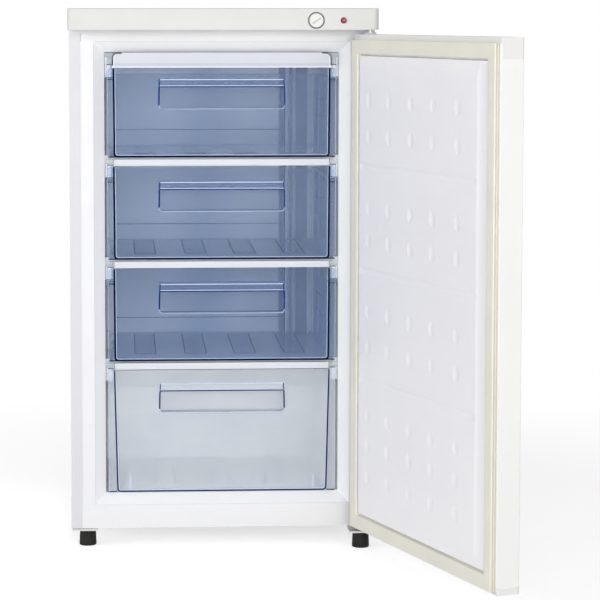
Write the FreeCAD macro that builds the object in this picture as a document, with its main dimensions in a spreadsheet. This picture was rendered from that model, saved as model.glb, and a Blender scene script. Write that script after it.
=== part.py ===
import FreeCAD, Part
import math
import os
import types

import Sketcher

# Upright under-counter freezer, door open to the right, four drawers.
# Millimetres, +Z up.  Drawn about the cabinet: x = 0 at its centre, y = 0 at its front
# face (the user stands at -y), z = 0 on the floor.  Every sub-part is then placed so
# that the origin lies at the bottom centre of the whole freezer with its door open.

SIZES = {
    # cabinet box
    "cab_width": 475, "cab_depth": 418, "cab_bottom": 31, "cab_top": 812,
    "skin": 0.8, "front_flange": 17.5, "rear_flange": 14,
    "top_lip": 18, "bottom_lip": 26, "bottom_depth": 339.2,
    # machine bay at the bottom rear
    "bay_front": 340, "bay_knee": 185, "bay_top": 250,
    # inner liner
    "liner_wall": 1.5, "mouth_half": 183, "mouth_bottom": 84, "mouth_top": 777,
    "bevel_grow": 17, "bevel_depth": 18.5, "inner_depth": 368,
    "step_depth": 305, "step_knee": 205, "step_top": 262,
    # worktop
    "lid_height": 33, "lid_over": 1, "lid_front": 50, "lid_rear": 450,
    "lid_wall": 3, "lid_corner": 8,
    # thermostat and pilot lamp
    "dial_x": 142, "dial_z": 826.3, "dial_radius": 11, "dial_gap": 1.2,
    "dial_thick": 4, "stem_radius": 3, "stem_gap": 0.06, "stem_length": 22,
    "lamp_x": 184, "lamp_radius": 4.75, "lamp_flange": 5.4, "lamp_dome": 2.6,
    # evaporator shelves
    "shelf_pitch": 160.3, "shelf_low": 292, "top_coil_z": 765,
    "tube_radius": 4, "wire_radius": 1.5, "bar_radius": 2.1, "coil_runs": 8, "coil_front": 44,
    "coil_pitch": 42, "coil_half": 150, "bar_half": 176, "bar_front": 32,
    "bar_rear": 352, "clip_size": 11, "wire_count": 9,
    "riser_x": 127, "riser_pitch": 11, "riser_y": 357.6, "riser_radius": 3.2,
    # shelf fronts
    "trim_half": 168.5, "trim_front": 19, "trim_thick": 2.5, "trim_height": 10,
    "trim_drop": 3,
    "band_front": 9, "band_bottom": 753, "band_height": 23.5, "band_corner": 7,
    "end_clip_front": 20, "end_clip_thick": 6, "end_clip_low": 737, "end_clip_high": 776,
    "end_clip_gap": 0.7, "shelf_clip_low": 32, "shelf_clip_high": 3.2,
    # drawers
    "drawer_half": 179, "drawer_front": 16.5, "drawer_plate": 3, "drawer_corner": 5,
    "drawer_low": 84.6, "drawer_tall": 177.4, "drawer_height": 127, "drawer_rest": 0.4,
    "front_gap": 1,
    "basket_half": 170, "basket_taper": 1, "low_taper": 4.5, "basket_wall": 2,
    "basket_drop": 4, "rim_half": 178, "rim_thick": 2.4, "basket_depth": 322,
    "low_depth": 276, "low_rear": 84, "notch_x": 120, "notch_depth": 30,
    "strip_width": 32, "strip_pitch": 77, "strip_start": 30, "strip_length": 220,
    "strip_rise": 1.6, "block_width": 26, "block_pitch": 87, "block_start": 36,
    "block_length": 130,
    "grip_half": 97.5, "grip_drop": 6, "lip_height": 10.5, "grip_tall": 34,
    "grip_depth": 21, "grip_wall": 2,
    # door
    "door_width": 475, "door_body": 35, "door_low": 34, "door_high": 805,
    "door_open": 109, "axis_side": 10.68, "axis_front": 14.15, "door_reach": 44.8,
    "cap_tall": 30, "cap_low": 10, "cap_proud": 1, "cap_corner": 4, "cap_lip": 10,
    "door_flange": 12, "panel_sheet": 1.2, "field_gap": 1.5, "field_rise": 7.5,
    "groove_half": 193.5, "groove_width": 9, "groove_deep": 2.5,
    "groove_first": 274.5, "groove_second": 444.5, "groove_third": 604.5,
    "gasket_free": 236.5, "gasket_hinge": 229.5, "gasket_band": 22, "gasket_low": 38.6,
    "gasket_high": 797, "gasket_tall": 9.5,
    # hinges
    "pin_radius": 4, "pin_gap": 0.08, "bush_radius": 7, "bush_length": 9,
    "bush_flange": 9.5, "bush_rim": 2.8, "bush_gap": 0.1,
    "plate_thick": 3, "plate_half": 30, "plate_back": 60, "plate_nose": 13,
    "plate_side": 8.1, "screw_gap": 0.1,
    "screw_radius": 4.2, "screw_head": 2.4, "shank_radius": 2,
    # feet
    "foot_radius": 13.5, "foot_height": 25, "foot_taper": 1, "stud_radius": 4,
    "stud_gap": 0.08, "left_foot_x": -212, "left_foot_y": 25,
    "right_foot_x": 217, "right_foot_y": -12, "rear_foot_x": 205, "rear_foot_y": 400,
    # machine bay parts
    "tray_thick": 1.6, "tray_rear": 446, "tray_front": 342,
    "grommet_radius": 9, "grommet_height": 9, "mount_x": 62, "mount_y": 36,
    "comp_x": -70, "comp_y": 393, "comp_radius": 46, "comp_height": 128,
    "comp_flange": 49, "comp_foot": 2.5, "cover_width": 34, "cover_height": 52,
    "gland_radius": 7, "gland_length": 16,
    "grid_y": 437, "grid_tube": 2.5, "grid_wire": 1, "grid_half": 186,
    "grid_runs": 11, "grid_low": 280, "grid_pitch": 46, "grid_wires": 14,
}

doc = FreeCAD.newDocument("Freezer")
sheet = doc.addObject("Spreadsheet::Sheet", "Sizes")
for row, (alias, amount) in enumerate(SIZES.items(), 1):
    sheet.set(f"A{row}", alias)
    sheet.set(f"B{row}", str(amount))
    sheet.setAlias(f"B{row}", alias)
doc.recompute()


class Size:
    """A length that keeps its value together with its spreadsheet expression."""

    def __init__(self, value, text=None):
        self.value = float(value)
        self.text = text or f"{float(value):g}"

    def __add__(self, other):
        other = as_size(other)
        return Size(self.value + other.value, f"({self.text} + {other.text})")

    def __sub__(self, other):
        other = as_size(other)
        return Size(self.value - other.value, f"({self.text} - {other.text})")

    def __mul__(self, other):
        other = as_size(other)
        return Size(self.value * other.value, f"({self.text} * {other.text})")

    def __truediv__(self, other):
        other = as_size(other)
        return Size(self.value / other.value, f"({self.text} / {other.text})")

    def __neg__(self):
        return Size(-self.value, f"(0 - {self.text})")

    def __radd__(self, other):
        return as_size(other) + self

    def __rsub__(self, other):
        return as_size(other) - self

    def __rmul__(self, other):
        return self * other


def as_size(number):
    return number if isinstance(number, Size) else Size(number)


d = types.SimpleNamespace(
    **{alias: Size(sheet.get(f"B{row}"), f"Sizes.{alias}")
       for row, alias in enumerate(SIZES, 1)}
)
turn = d.door_open.value
cos_open = Size(math.cos(math.radians(turn)), "cos(Sizes.door_open * 1 deg)")
sin_open = Size(math.sin(math.radians(turn)), "sin(Sizes.door_open * 1 deg)")

# The door's free edge, open: how far it stands out to the right and to the front.
arm = d.door_width - d.axis_side + d.cap_proud
axis_x = d.cab_width / 2 - d.axis_side
axis_y = d.axis_front - d.door_reach
far_x = axis_x - arm * cos_open + (d.axis_front + d.cap_proud) * sin_open
far_y = axis_y - arm * sin_open + (d.door_body - d.axis_front) * cos_open
left_x = -(d.cab_width / 2 + d.lid_over)
row_x = -(far_x + left_x) / 2
row_y = -(far_y + d.lid_rear) / 2

NODES = []


def place(thing, label, x=0, y=0, z=0, angle=None):
    """Puts a finished sub-part at a cabinet position and lists it for writing."""
    x, y, z = row_x + x, row_y + y, as_size(z)
    spin = FreeCAD.Rotation(FreeCAD.Vector(0, 0, 1), angle.value if angle else 0)
    thing.Placement = FreeCAD.Placement(
        FreeCAD.Vector(x.value, y.value, z.value), spin)
    thing.setExpression("Placement.Base.x", x.text)
    thing.setExpression("Placement.Base.y", y.text)
    thing.setExpression("Placement.Base.z", z.text)
    if angle:
        thing.setExpression("Placement.Rotation.Angle", angle.text)
    thing.Label = label
    NODES.append(thing)
    return thing


# ---------------------------------------------------------------- sketched bodies
def new_body(name):
    return doc.addObject("PartDesign::Body", name.title().replace("_", ""))


def box_loop(x0, y0, x1, y1):
    return [(x0, y0), (x1, y0), (x1, y1), (x0, y1)]


def disc(x, y, radius):
    return ("disc", as_size(x), as_size(y), as_size(radius))


def add_sketch(body, role, loops, level):
    """A sketch on one of the body's origin planes, every point tied to the sheet."""
    sketch = body.newObject("Sketcher::SketchObject", "Sketch")
    plane = next(f for f in body.Origin.OriginFeatures if f.Role == role)
    sketch.AttachmentSupport = (plane, [""])
    sketch.MapMode = "FlatFace"
    level = as_size(level)
    if role == "XZ_Plane":
        level = -level
    sketch.AttachmentOffset = FreeCAD.Placement(
        FreeCAD.Vector(0, 0, level.value), FreeCAD.Rotation())
    sketch.setExpression("AttachmentOffset.Base.z", level.text)

    def pin(kind, index, point, value):
        value = as_size(value)
        at = sketch.addConstraint(
            Sketcher.Constraint(kind, -1, 1, index, point, value.value))
        sketch.setExpression(f"Constraints[{at}]", value.text)

    for loop in loops:
        first = sketch.GeometryCount
        if loop[0] == "disc":
            _, x, y, radius = loop
            sketch.addGeometry(Part.Circle(
                FreeCAD.Vector(x.value, y.value, 0), FreeCAD.Vector(0, 0, 1),
                radius.value))
            pin("DistanceX", first, 3, x)
            pin("DistanceY", first, 3, y)
            at = sketch.addConstraint(
                Sketcher.Constraint("Radius", first, radius.value))
            sketch.setExpression(f"Constraints[{at}]", radius.text)
            continue
        points = [(as_size(x), as_size(y)) for x, y in loop]
        spots = [FreeCAD.Vector(x.value, y.value, 0) for x, y in points]
        count = len(spots)
        sketch.addGeometry([
            Part.LineSegment(spots[i], spots[(i + 1) % count]) for i in range(count)])
        for i in range(count):
            sketch.addConstraint(Sketcher.Constraint(
                "Coincident", first + i, 2, first + (i + 1) % count, 1))
        for i, (x, y) in enumerate(points):
            pin("DistanceX", first + i, 1, x)
            pin("DistanceY", first + i, 1, y)
    return sketch


def pad(body, role, loops, low, high):
    """Adds material between two levels along the plane's axis."""
    low, high = as_size(low), as_size(high)
    sketch = add_sketch(body, role, loops, high if role == "XZ_Plane" else low)
    feature = body.newObject("PartDesign::Pad", "Pad")
    feature.Profile = sketch
    length = high - low
    feature.Length = length.value
    feature.setExpression("Length", length.text)
    sketch.Visibility = False
    body.Tip = feature
    return feature


def cut(body, role, loops, low, high):
    """Removes material between two levels along the plane's axis."""
    low, high = as_size(low), as_size(high)
    before = body.Tip
    sketch = add_sketch(body, role, loops, low if role == "XZ_Plane" else high)
    feature = body.newObject("PartDesign::Pocket", "Pocket")
    feature.Profile = sketch
    length = high - low
    feature.Length = length.value
    feature.setExpression("Length", length.text)
    sketch.Visibility = False
    body.Tip = feature
    doc.recompute()
    if feature.Shape.Volume > before.Shape.Volume - 1e-6:
        raise RuntimeError(f"{body.Name}: {feature.Name} removes nothing")
    return feature


def round_edges(body, radius, pick):
    """Fillets the edges of the body's tip that pick(edge bounding box) chooses."""
    doc.recompute()
    tip = body.Tip
    names = [f"Edge{i}" for i, edge in enumerate(tip.Shape.Edges, 1)
             if pick(edge.BoundBox)]
    if not names:
        raise RuntimeError(f"{body.Name}: no edge to round")
    feature = body.newObject("PartDesign::Fillet", "Fillet")
    feature.Base = (tip, names)
    feature.Radius = radius.value
    feature.setExpression("Radius", radius.text)
    body.Tip = feature
    return feature


def close(a, b):
    return abs(a - as_size(b).value) < 0.01


def wedge(body, kind, name, y0, y1, start, end):
    """A block that tapers along y from the start rectangle to the end one."""
    feature = body.newObject(f"PartDesign::{kind}Wedge", name)
    values = {
        "Ymin": y0, "Ymax": y1,
        "Xmin": -start[0], "Xmax": start[0], "Zmin": start[1], "Zmax": start[2],
        "X2min": -end[0], "X2max": end[0], "Z2min": end[1], "Z2max": end[2],
    }
    for key, value in values.items():
        value = as_size(value)
        setattr(feature, key, value.value)
        feature.setExpression(key, value.text)
    body.Tip = feature
    return feature


# ---------------------------------------------------------------- cabinet skins
half = d.cab_width / 2
in_half = half - d.skin
for side, sign in (("left", -1), ("right", 1)):
    body = new_body(f"side_panel_{side}")
    outer, inner = half * sign, in_half * sign
    front, rear = (half - d.front_flange) * sign, (half - d.rear_flange) * sign
    pad(body, "XY_Plane", [[
        (outer, 0), (front, 0), (front, d.skin), (inner, d.skin),
        (inner, d.cab_depth - d.skin), (rear, d.cab_depth - d.skin),
        (rear, d.cab_depth), (outer, d.cab_depth)]],
        d.cab_bottom, d.cab_top)
    place(body, f"side_panel_{side}")

lip_half = half - d.front_flange
body = new_body("top_panel")
pad(body, "XY_Plane", [box_loop(-in_half, d.skin, in_half, d.cab_depth - d.skin)],
    d.cab_top - d.skin, d.cab_top)
pad(body, "XZ_Plane", [box_loop(-lip_half, d.cab_top - d.top_lip,
                                lip_half, d.cab_top)], 0, d.skin)
place(body, "top_panel")

body = new_body("bottom_panel")
pad(body, "XY_Plane", [box_loop(-in_half, d.skin, in_half, d.bottom_depth)],
    d.cab_bottom, d.cab_bottom + d.skin)
pad(body, "XZ_Plane", [box_loop(-lip_half, d.cab_bottom,
                                lip_half, d.cab_bottom + d.bottom_lip)], 0, d.skin)
place(body, "bottom_panel")

body = new_body("back_panel")
rear_face = d.cab_depth - d.skin
pad(body, "XZ_Plane", [box_loop(-(half - d.rear_flange), d.bay_top,
                                half - d.rear_flange, d.cab_top - d.skin)],
    rear_face, d.cab_depth)
place(body, "back_panel")

body = new_body("machine_bay_panel")
pad(body, "YZ_Plane", [[
    (d.bay_front - d.skin, d.cab_bottom), (d.bay_front, d.cab_bottom),
    (d.bay_front, d.bay_knee - d.skin), (d.cab_depth - d.skin, d.bay_top - 1.5),
    (d.cab_depth - d.skin, d.bay_top),
    (d.bay_front - d.skin, d.bay_knee)]], -in_half, in_half)
place(body, "machine_bay_panel")

# ---------------------------------------------------------------- liner and foam
wall = d.liner_wall
plate_back = d.skin + wall


def cavity(grow):
    """The liner's side profile; grow is the distance outside its inner faces."""
    return [
        (d.bevel_depth, d.mouth_bottom - grow),
        (d.step_depth + grow, d.mouth_bottom - grow),
        (d.step_depth + grow, d.step_knee - grow * 0.45),
        (d.inner_depth + grow, d.step_top - grow * 0.45),
        (d.inner_depth + grow, d.mouth_top + grow),
        (d.bevel_depth, d.mouth_top + grow)]


def mouth(grow, y0, y1):
    """Bevel rectangles at two depths, for a frame that funnels into the cavity."""
    wide = d.bevel_grow + grow
    return (y0, y1,
            (d.mouth_half + wide, d.mouth_bottom - wide, d.mouth_top + d.bevel_grow),
            (d.mouth_half + grow, d.mouth_bottom - grow, d.mouth_top + grow))


body = new_body("inner_liner")
pad(body, "XZ_Plane", [box_loop(-in_half, d.cab_bottom + d.skin, in_half,
                                d.cab_top - d.skin)], d.skin, plate_back)
wedge(body, "Additive", "BevelSkin", *mouth(wall, d.skin, d.bevel_depth))
pad(body, "YZ_Plane", [cavity(wall)], -(d.mouth_half + wall), d.mouth_half + wall)
cut(body, "YZ_Plane", [cavity(Size(0))], -d.mouth_half, d.mouth_half)
wedge(body, "Subtractive", "BevelMouth", *mouth(Size(0), d.skin, d.bevel_depth))
place(body, "inner_liner")

body = new_body("cabinet_foam")
low_z, high_z = d.cab_bottom + d.skin, d.cab_top - d.skin
pad(body, "YZ_Plane", [[
    (plate_back, low_z), (d.bay_front - d.skin, low_z),
    (d.bay_front - d.skin, d.bay_knee), (rear_face, d.bay_top),
    (rear_face, high_z), (plate_back, high_z)]], -in_half, in_half)
cut(body, "YZ_Plane", [cavity(wall)], -(d.mouth_half + wall), d.mouth_half + wall)
wedge(body, "Subtractive", "BevelSeat", *mouth(wall, d.skin, d.bevel_depth))
place(body, "cabinet_foam")

# ---------------------------------------------------------------- worktop
lid_half = half + d.lid_over
lid_low, lid_high = d.cab_top, d.cab_top + d.lid_height
body = new_body("worktop")
pad(body, "XY_Plane", [box_loop(-lid_half, -d.lid_front, lid_half, d.lid_rear)],
    lid_low, lid_high)
front_y = -d.lid_front
round_edges(body, d.lid_corner, lambda b: b.ZLength > 5 and close(b.YMin, front_y))
round_edges(body, d.lid_wall * 0.8,
            lambda b: close(b.ZMin, lid_high) and close(b.ZMax, lid_high))
cut(body, "XY_Plane", [box_loop(
    -(lid_half - d.lid_wall), d.lid_wall - d.lid_front, lid_half - d.lid_wall,
    d.lid_rear - d.lid_wall)], lid_low, lid_high - d.lid_wall)
cut(body, "XZ_Plane", [disc(d.dial_x, d.dial_z, d.dial_radius + d.dial_gap),
                       disc(d.lamp_x, d.dial_z, d.lamp_radius)],
    -d.lid_front, d.lid_wall - d.lid_front)
place(body, "worktop")

behind = d.lid_wall - d.lid_front
body = new_body("thermostat_body")
pad(body, "XZ_Plane", [box_loop(-20, -13, 20, 13)], 0, 26)
cut(body, "XZ_Plane", [disc(0, 0, d.dial_radius + d.dial_gap)], 0, 5)
cut(body, "XZ_Plane", [disc(0, 0, d.stem_radius + d.stem_gap)], 4.9, 24)
place(body, "thermostat_body", d.dial_x, behind, d.dial_z)

body = new_body("thermostat_knob")
pad(body, "XZ_Plane", [disc(0, 0, d.dial_radius)], 0, d.dial_thick)
pad(body, "XZ_Plane", [disc(0, 0, d.stem_radius)], 0, d.stem_length)
run, rise = d.dial_radius * 0.563, d.dial_radius * 0.365
side, lift = d.dial_radius * 0.084, d.dial_radius * 0.13
cut(body, "XZ_Plane", [[(side - run, -rise - lift), (run + side, rise - lift),
                        (run - side, rise + lift), (-run - side, lift - rise)]], 0, 1.2)
place(body, "thermostat_knob", d.dial_x, -d.lid_front - 0.4, d.dial_z)

lens = new_body("indicator_lens")
pad(lens, "XZ_Plane", [disc(0, 0, d.lamp_radius - 0.3)], -0.4, d.lid_wall)
pad(lens, "XZ_Plane", [disc(0, 0, d.lamp_flange)], d.lid_wall, d.lid_wall + 1.5)
pad(lens, "XZ_Plane", [disc(0, 0, d.lamp_radius - 0.3)], -d.lamp_dome, 0)
round_edges(lens, d.lamp_dome * 0.7, lambda b: close(b.YMin, -d.lamp_dome)
            and close(b.YMax, -d.lamp_dome))
place(lens, "indicator_lens", d.lamp_x, -d.lid_front, d.dial_z)

body = new_body("lamp_holder")
pad(body, "XZ_Plane", [box_loop(-8, -8, 8, 8)], 1.5, 20)
place(body, "lamp_holder", d.lamp_x, behind, d.dial_z)

# ---------------------------------------------------------------- evaporator
def tube(points, radius, bend):
    """A round tube along straight runs joined by arcs of the bend radius."""
    points = [FreeCAD.Vector(*p) for p in points]
    edges, last = [], points[0]
    for before, corner, after in zip(points, points[1:], points[2:]):
        into = (corner - before).normalize()
        out = (after - corner).normalize()
        reach = bend * math.tan(into.getAngle(out) / 2)
        start, end = corner - into * reach, corner + out * reach
        middle = corner + (out - into).normalize() * (
            math.hypot(bend, reach) - bend)
        if (start - last).Length > 1e-4:
            edges.append(Part.LineSegment(last, start).toShape())
        edges.append(Part.Arc(start, middle, end).toShape())
        last = end
    if (points[-1] - last).Length > 1e-4:
        edges.append(Part.LineSegment(last, points[-1]).toShape())
    path = Part.Wire(edges)
    ring = Part.Wire(Part.Circle(points[0], points[1] - points[0], radius).toShape())
    return path.makePipeShell([ring], True, False)


def rod(start, end, radius):
    start, end = FreeCAD.Vector(*start), FreeCAD.Vector(*end)
    return Part.makeCylinder(radius, (end - start).Length, start, end - start)


def snake(count, half_x, first, pitch, bend, fixed, upright=False):
    """Corner points of a serpentine whose runs lie along x."""
    points, side = [], -1
    for i in range(count):
        at = first + pitch * i
        for reach in (side, -side):
            points.append((reach * half_x, fixed, at) if upright
                          else (reach * half_x, at, fixed))
        side = -side
    return points


def shelf_shape(top):
    """One level of the evaporator: a tube serpentine under a row of wires."""
    radius, wire = d.tube_radius.value, d.wire_radius.value
    level = top - 2 * wire - radius + 0.5
    pitch = d.coil_pitch.value
    points = snake(int(d.coil_runs.value), d.coil_half.value + pitch / 2,
                   d.coil_front.value, pitch, pitch / 2, level)
    points[0] = (-d.coil_half.value, points[0][1], level)
    points[-1] = (-d.coil_half.value, points[-1][1], level)
    parts = [tube(points, radius, pitch / 2 - 0.01)]
    y0, y1 = d.bar_front.value, d.bar_rear.value
    count = int(d.wire_count.value)
    for i in range(count):
        x = (i / (count - 1) - 0.5) * 2 * (d.coil_half.value - 8)
        parts.append(rod((x, y0, top - wire), (x, y1, top - wire), wire))
    reach = d.bar_half.value
    thick = d.bar_radius.value
    for y in (y0, y1):
        parts.append(rod((-reach, y, top - thick), (reach, y, top - thick), thick))
    return parts[0].fuse(parts[1:]).removeSplitter()


def feature(label, shape, x=0, y=0, z=0):
    """A shape that has no sketch, such as a bent tube, placed like the others."""
    thing = doc.addObject("Part::Feature", label.title().replace("_", ""))
    thing.Shape = shape
    return place(thing, label, x, y, z)


tops = [d.shelf_low + d.shelf_pitch * i for i in range(2, -1, -1)]
coil_drop = d.top_coil_z
feature("evaporator_top", shelf_shape(0.0), z=coil_drop)
for number, top in enumerate(tops, 1):
    feature(f"evaporator_shelf_{number}", shelf_shape(0.0), z=top)

# Clips that hang each level from the liner's walls, all alike.
clips = []
size = d.clip_size.value
for top in [coil_drop] + tops:
    for y in (d.bar_front.value, d.bar_rear.value):
        for sign in (-1, 1):
            x = sign * (d.bar_half.value + d.mouth_half.value) / 2
            wide = d.mouth_half.value - d.bar_half.value
            clips.append(Part.makeBox(
                wide, size, size, FreeCAD.Vector(
                    x - wide / 2, y - size / 2, top.value - d.bar_radius.value
                    - size / 2)))
feature("evaporator_clips", Part.makeCompound(clips))

# Two risers in the right rear corner carry the refrigerant between the levels.
risers = []
low_level = tops[-1].value - 12
for i in range(2):
    x = d.riser_x.value + i * d.riser_pitch.value
    risers.append(rod((x, d.riser_y.value, low_level),
                      (x, d.riser_y.value, coil_drop.value + 4),
                      d.riser_radius.value))
cross = rod((d.riser_x.value, d.riser_y.value, low_level + 6),
            (d.riser_x.value + d.riser_pitch.value, d.riser_y.value, low_level + 6),
            d.riser_radius.value * 0.9)
feature("evaporator_risers", risers[0].fuse([risers[1], cross]))

# ---------------------------------------------------------------- shelf fronts
for number, top in enumerate(tops, 1):
    body = new_body(f"shelf_trim_{number}")
    low, reach = -(d.trim_height + d.trim_drop), d.bar_front - d.trim_front + 3
    seat = -(d.bar_radius * 2 + 0.3)
    pad(body, "YZ_Plane", [[
        (0, low), (d.trim_thick, low), (d.trim_thick, seat - 2), (reach, seat - 2),
        (reach, seat), (d.trim_thick, seat), (d.trim_thick, -d.trim_drop),
        (0, -d.trim_drop)]], -d.trim_half, d.trim_half)
    place(body, f"shelf_trim_{number}", 0, d.trim_front, top)

body = new_body("top_trim_band")
pad(body, "XZ_Plane", [box_loop(-(d.trim_half + 2.5), 0, d.trim_half + 2.5,
                                d.band_height)], 0, d.trim_thick)
band_top = d.band_height
round_edges(body, d.band_corner,
            lambda b: close(b.ZMin, band_top) and close(b.ZMax, band_top)
            and b.YLength > 1 and b.XLength < 1)
pad(body, "XZ_Plane", [box_loop(-(d.trim_half - 12), 6, d.trim_half - 12, 9)],
    d.trim_thick, d.bar_front - d.band_front - 2.1)
place(body, "top_trim_band", 0, d.band_front, d.band_bottom)

for side, sign in (("left", -1), ("right", 1)):
    body = new_body(f"trim_clip_{side}")
    edge = (d.trim_half + d.end_clip_gap) * sign
    pad(body, "XZ_Plane", [box_loop(edge, d.end_clip_low, d.mouth_half * sign,
                                    d.end_clip_high)], 0, d.end_clip_thick)
    place(body, f"trim_clip_{side}", 0, d.end_clip_front, 0)

# Clear end clips, one at each end of the three shelf trims, all alike: a block under
# the bar's clip, stepped back where the trim ends.
ends = []
for top in tops:
    for sign in (-1, 1):
        near = d.trim_half.value + d.end_clip_gap.value
        far, thick = d.mouth_half.value, d.end_clip_thick.value
        low, high = top.value - d.shelf_clip_low.value, top.value - d.shelf_clip_high.value
        block = Part.makeBox(far - near, thick, high - low, FreeCAD.Vector(
            near if sign > 0 else -far, d.end_clip_front.value, low))
        edges = [e for e in block.Edges if e.BoundBox.XLength < 0.01
                 and e.BoundBox.ZLength < 0.01 and e.BoundBox.YLength > 1
                 and close(e.BoundBox.ZMin, low)
                 and close(abs(e.BoundBox.XMin), near)]
        ends.append(block.makeFillet(thick * 0.5, edges))
feature("shelf_clips", Part.makeCompound(ends))

# ---------------------------------------------------------------- drawers
def drawer_front(number, height, plate_top):
    """The clear front plate with its finger grip behind a lip.  The plate stands higher
    than the basket, up to the trim above it."""
    body = new_body(f"drawer_front_{number}")
    grip_top = height - d.grip_drop
    grip_low = grip_top - d.lip_height - d.grip_tall
    pad(body, "XZ_Plane", [box_loop(-d.drawer_half, 0, d.drawer_half, plate_top)],
        0, d.drawer_plate)
    round_edges(body, d.drawer_corner, lambda b: b.YLength > 1 and b.XLength < 1)
    wide = d.grip_half + d.grip_wall
    pad(body, "XZ_Plane", [box_loop(-wide, grip_low - d.grip_wall,
                                    wide, grip_top + d.grip_wall)],
        d.drawer_plate, d.grip_depth + d.grip_wall)
    cut(body, "XZ_Plane", [box_loop(-d.grip_half, grip_low, d.grip_half, grip_top)],
        d.drawer_plate, d.grip_depth)
    cut(body, "XZ_Plane", [box_loop(-d.grip_half, grip_low, d.grip_half,
                                    grip_top - d.lip_height)],
        0, d.drawer_plate + 1)
    return body


def basket(number, height, depth, taper, rear_height, notch):
    """The open basket behind a front: floor, two sides, rear wall, hanging rims."""
    body = new_body(f"drawer_basket_{number}")
    top = height - d.basket_drop
    wide, low, wall = d.basket_half, d.basket_half - taper, d.basket_wall
    start, end = d.drawer_plate, d.drawer_plate + depth
    rim_low = top - d.rim_thick
    pad(body, "XZ_Plane", [[
        (-d.rim_half, top), (-d.rim_half, rim_low), (-wide, rim_low), (-low, 0),
        (low, 0), (wide, rim_low), (d.rim_half, rim_low), (d.rim_half, top),
        (wide - wall, top), (low - wall, wall), (wall - low, wall),
        (wall - wide, top)]], start, end)
    corner = low.value
    round_edges(body, wall * 2.2, lambda b: b.YLength > 50 and close(b.ZMin, 0)
                and close(b.ZMax, 0) and abs(abs(b.XMin) - corner) < 0.1)
    share = (low - wall) + taper * (rear_height / height)
    pad(body, "XZ_Plane", [[
        (-(low - 1), 1), (low - 1, 1), (share, rear_height), (-share, rear_height)]],
        end - wall, end)
    if notch:
        cut(body, "XY_Plane", [box_loop(d.notch_x, end - d.notch_depth,
                                        d.rim_half + 5, end + 5)], -1, height)
        pad(body, "XY_Plane", [[
            (d.notch_x - wall, end), (d.notch_x - wall, end - d.notch_depth - wall),
            (low - 1, end - d.notch_depth - wall), (low - 1, end - d.notch_depth),
            (d.notch_x, end - d.notch_depth), (d.notch_x, end)]], 1, rear_height)
        strips = [d.strip_pitch * (i - 1.5) for i in range(4)]
        pad(body, "XY_Plane", [box_loop(
            x - d.strip_width / 2, d.strip_start, x + d.strip_width / 2,
            d.strip_start + d.strip_length) for x in strips],
            wall, wall + d.strip_rise)
    else:
        blocks = [d.block_pitch * (i - 1) for i in range(3)]
        pad(body, "XY_Plane", [box_loop(
            x - d.block_width / 2, d.block_start, x + d.block_width / 2,
            d.block_start + d.block_length) for x in blocks],
            wall, wall + d.strip_rise * 2)
    return body


floors = [top + d.drawer_rest for top in tops] + [d.drawer_low]
for number, floor in enumerate(floors, 1):
    lowest = number == len(floors)
    height = d.drawer_tall if lowest else d.drawer_height
    roof = d.band_bottom if number == 1 else tops[number - 2] - d.trim_height - d.trim_drop
    front = drawer_front(number, height, roof - d.front_gap - floor)
    place(front, f"drawer_front_{number}", 0, d.drawer_front, floor)
    if lowest:
        tub = basket(number, height, d.low_depth, d.low_taper, d.low_rear, False)
    else:
        tub = basket(number, height, d.basket_depth, d.basket_taper,
                     height - d.basket_drop, True)
    place(tub, f"drawer_basket_{number}", 0, d.drawer_front, floor)

# ---------------------------------------------------------------- door
# Door parts are drawn closed, about the hinge axis: the free edge is at -x, the outer
# face at -y.  Their placement swings them open.
x_right, x_left = d.axis_side, d.axis_side - d.door_width
y_out, y_in = -d.axis_front, d.door_body - d.axis_front
to_local = -axis_x


def put_door(body, label):
    return place(body, label, axis_x, axis_y, 0, d.door_open)


sheet_y = y_in - d.panel_sheet
fold_y = sheet_y - d.skin
skin_low, skin_high = d.door_low + d.cap_low, d.door_high - d.cap_tall
body = new_body("door_skin")
pad(body, "XY_Plane", [[
    (x_left, y_out), (x_right, y_out), (x_right, sheet_y),
    (x_right - d.door_flange, sheet_y), (x_right - d.door_flange, fold_y),
    (x_right - d.skin, fold_y), (x_right - d.skin, y_out + d.skin),
    (x_left + d.skin, y_out + d.skin), (x_left + d.skin, fold_y),
    (x_left + d.door_flange, fold_y), (x_left + d.door_flange, sheet_y),
    (x_left, sheet_y)]], skin_low, skin_high)
put_door(body, "door_skin")

for end, low, high in (("top", skin_high, d.door_high),
                       ("bottom", d.door_low, skin_low)):
    body = new_body(f"door_{end}_cap")
    pad(body, "XY_Plane", [box_loop(x_left - d.cap_proud, y_out - d.cap_proud,
                                    x_right + d.cap_proud, sheet_y)], low, high)
    outside = y_out - d.cap_proud
    round_edges(body, d.cap_corner,
                lambda b: b.ZLength > 5 and close(b.YMin, outside))
    lip = (high - d.cap_lip, high) if end == "top" else (low, low + d.cap_lip)
    pad(body, "XY_Plane", [box_loop(x_left - d.cap_proud, sheet_y - 1,
                                    x_right + d.cap_proud, y_in)], *lip)
    face = high - d.bush_length if end == "top" else low
    cut(body, "XY_Plane", [disc(0, 0, d.bush_radius + d.bush_gap)], face, face + d.bush_length)
    put_door(body, f"door_{end}_cap")

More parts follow.
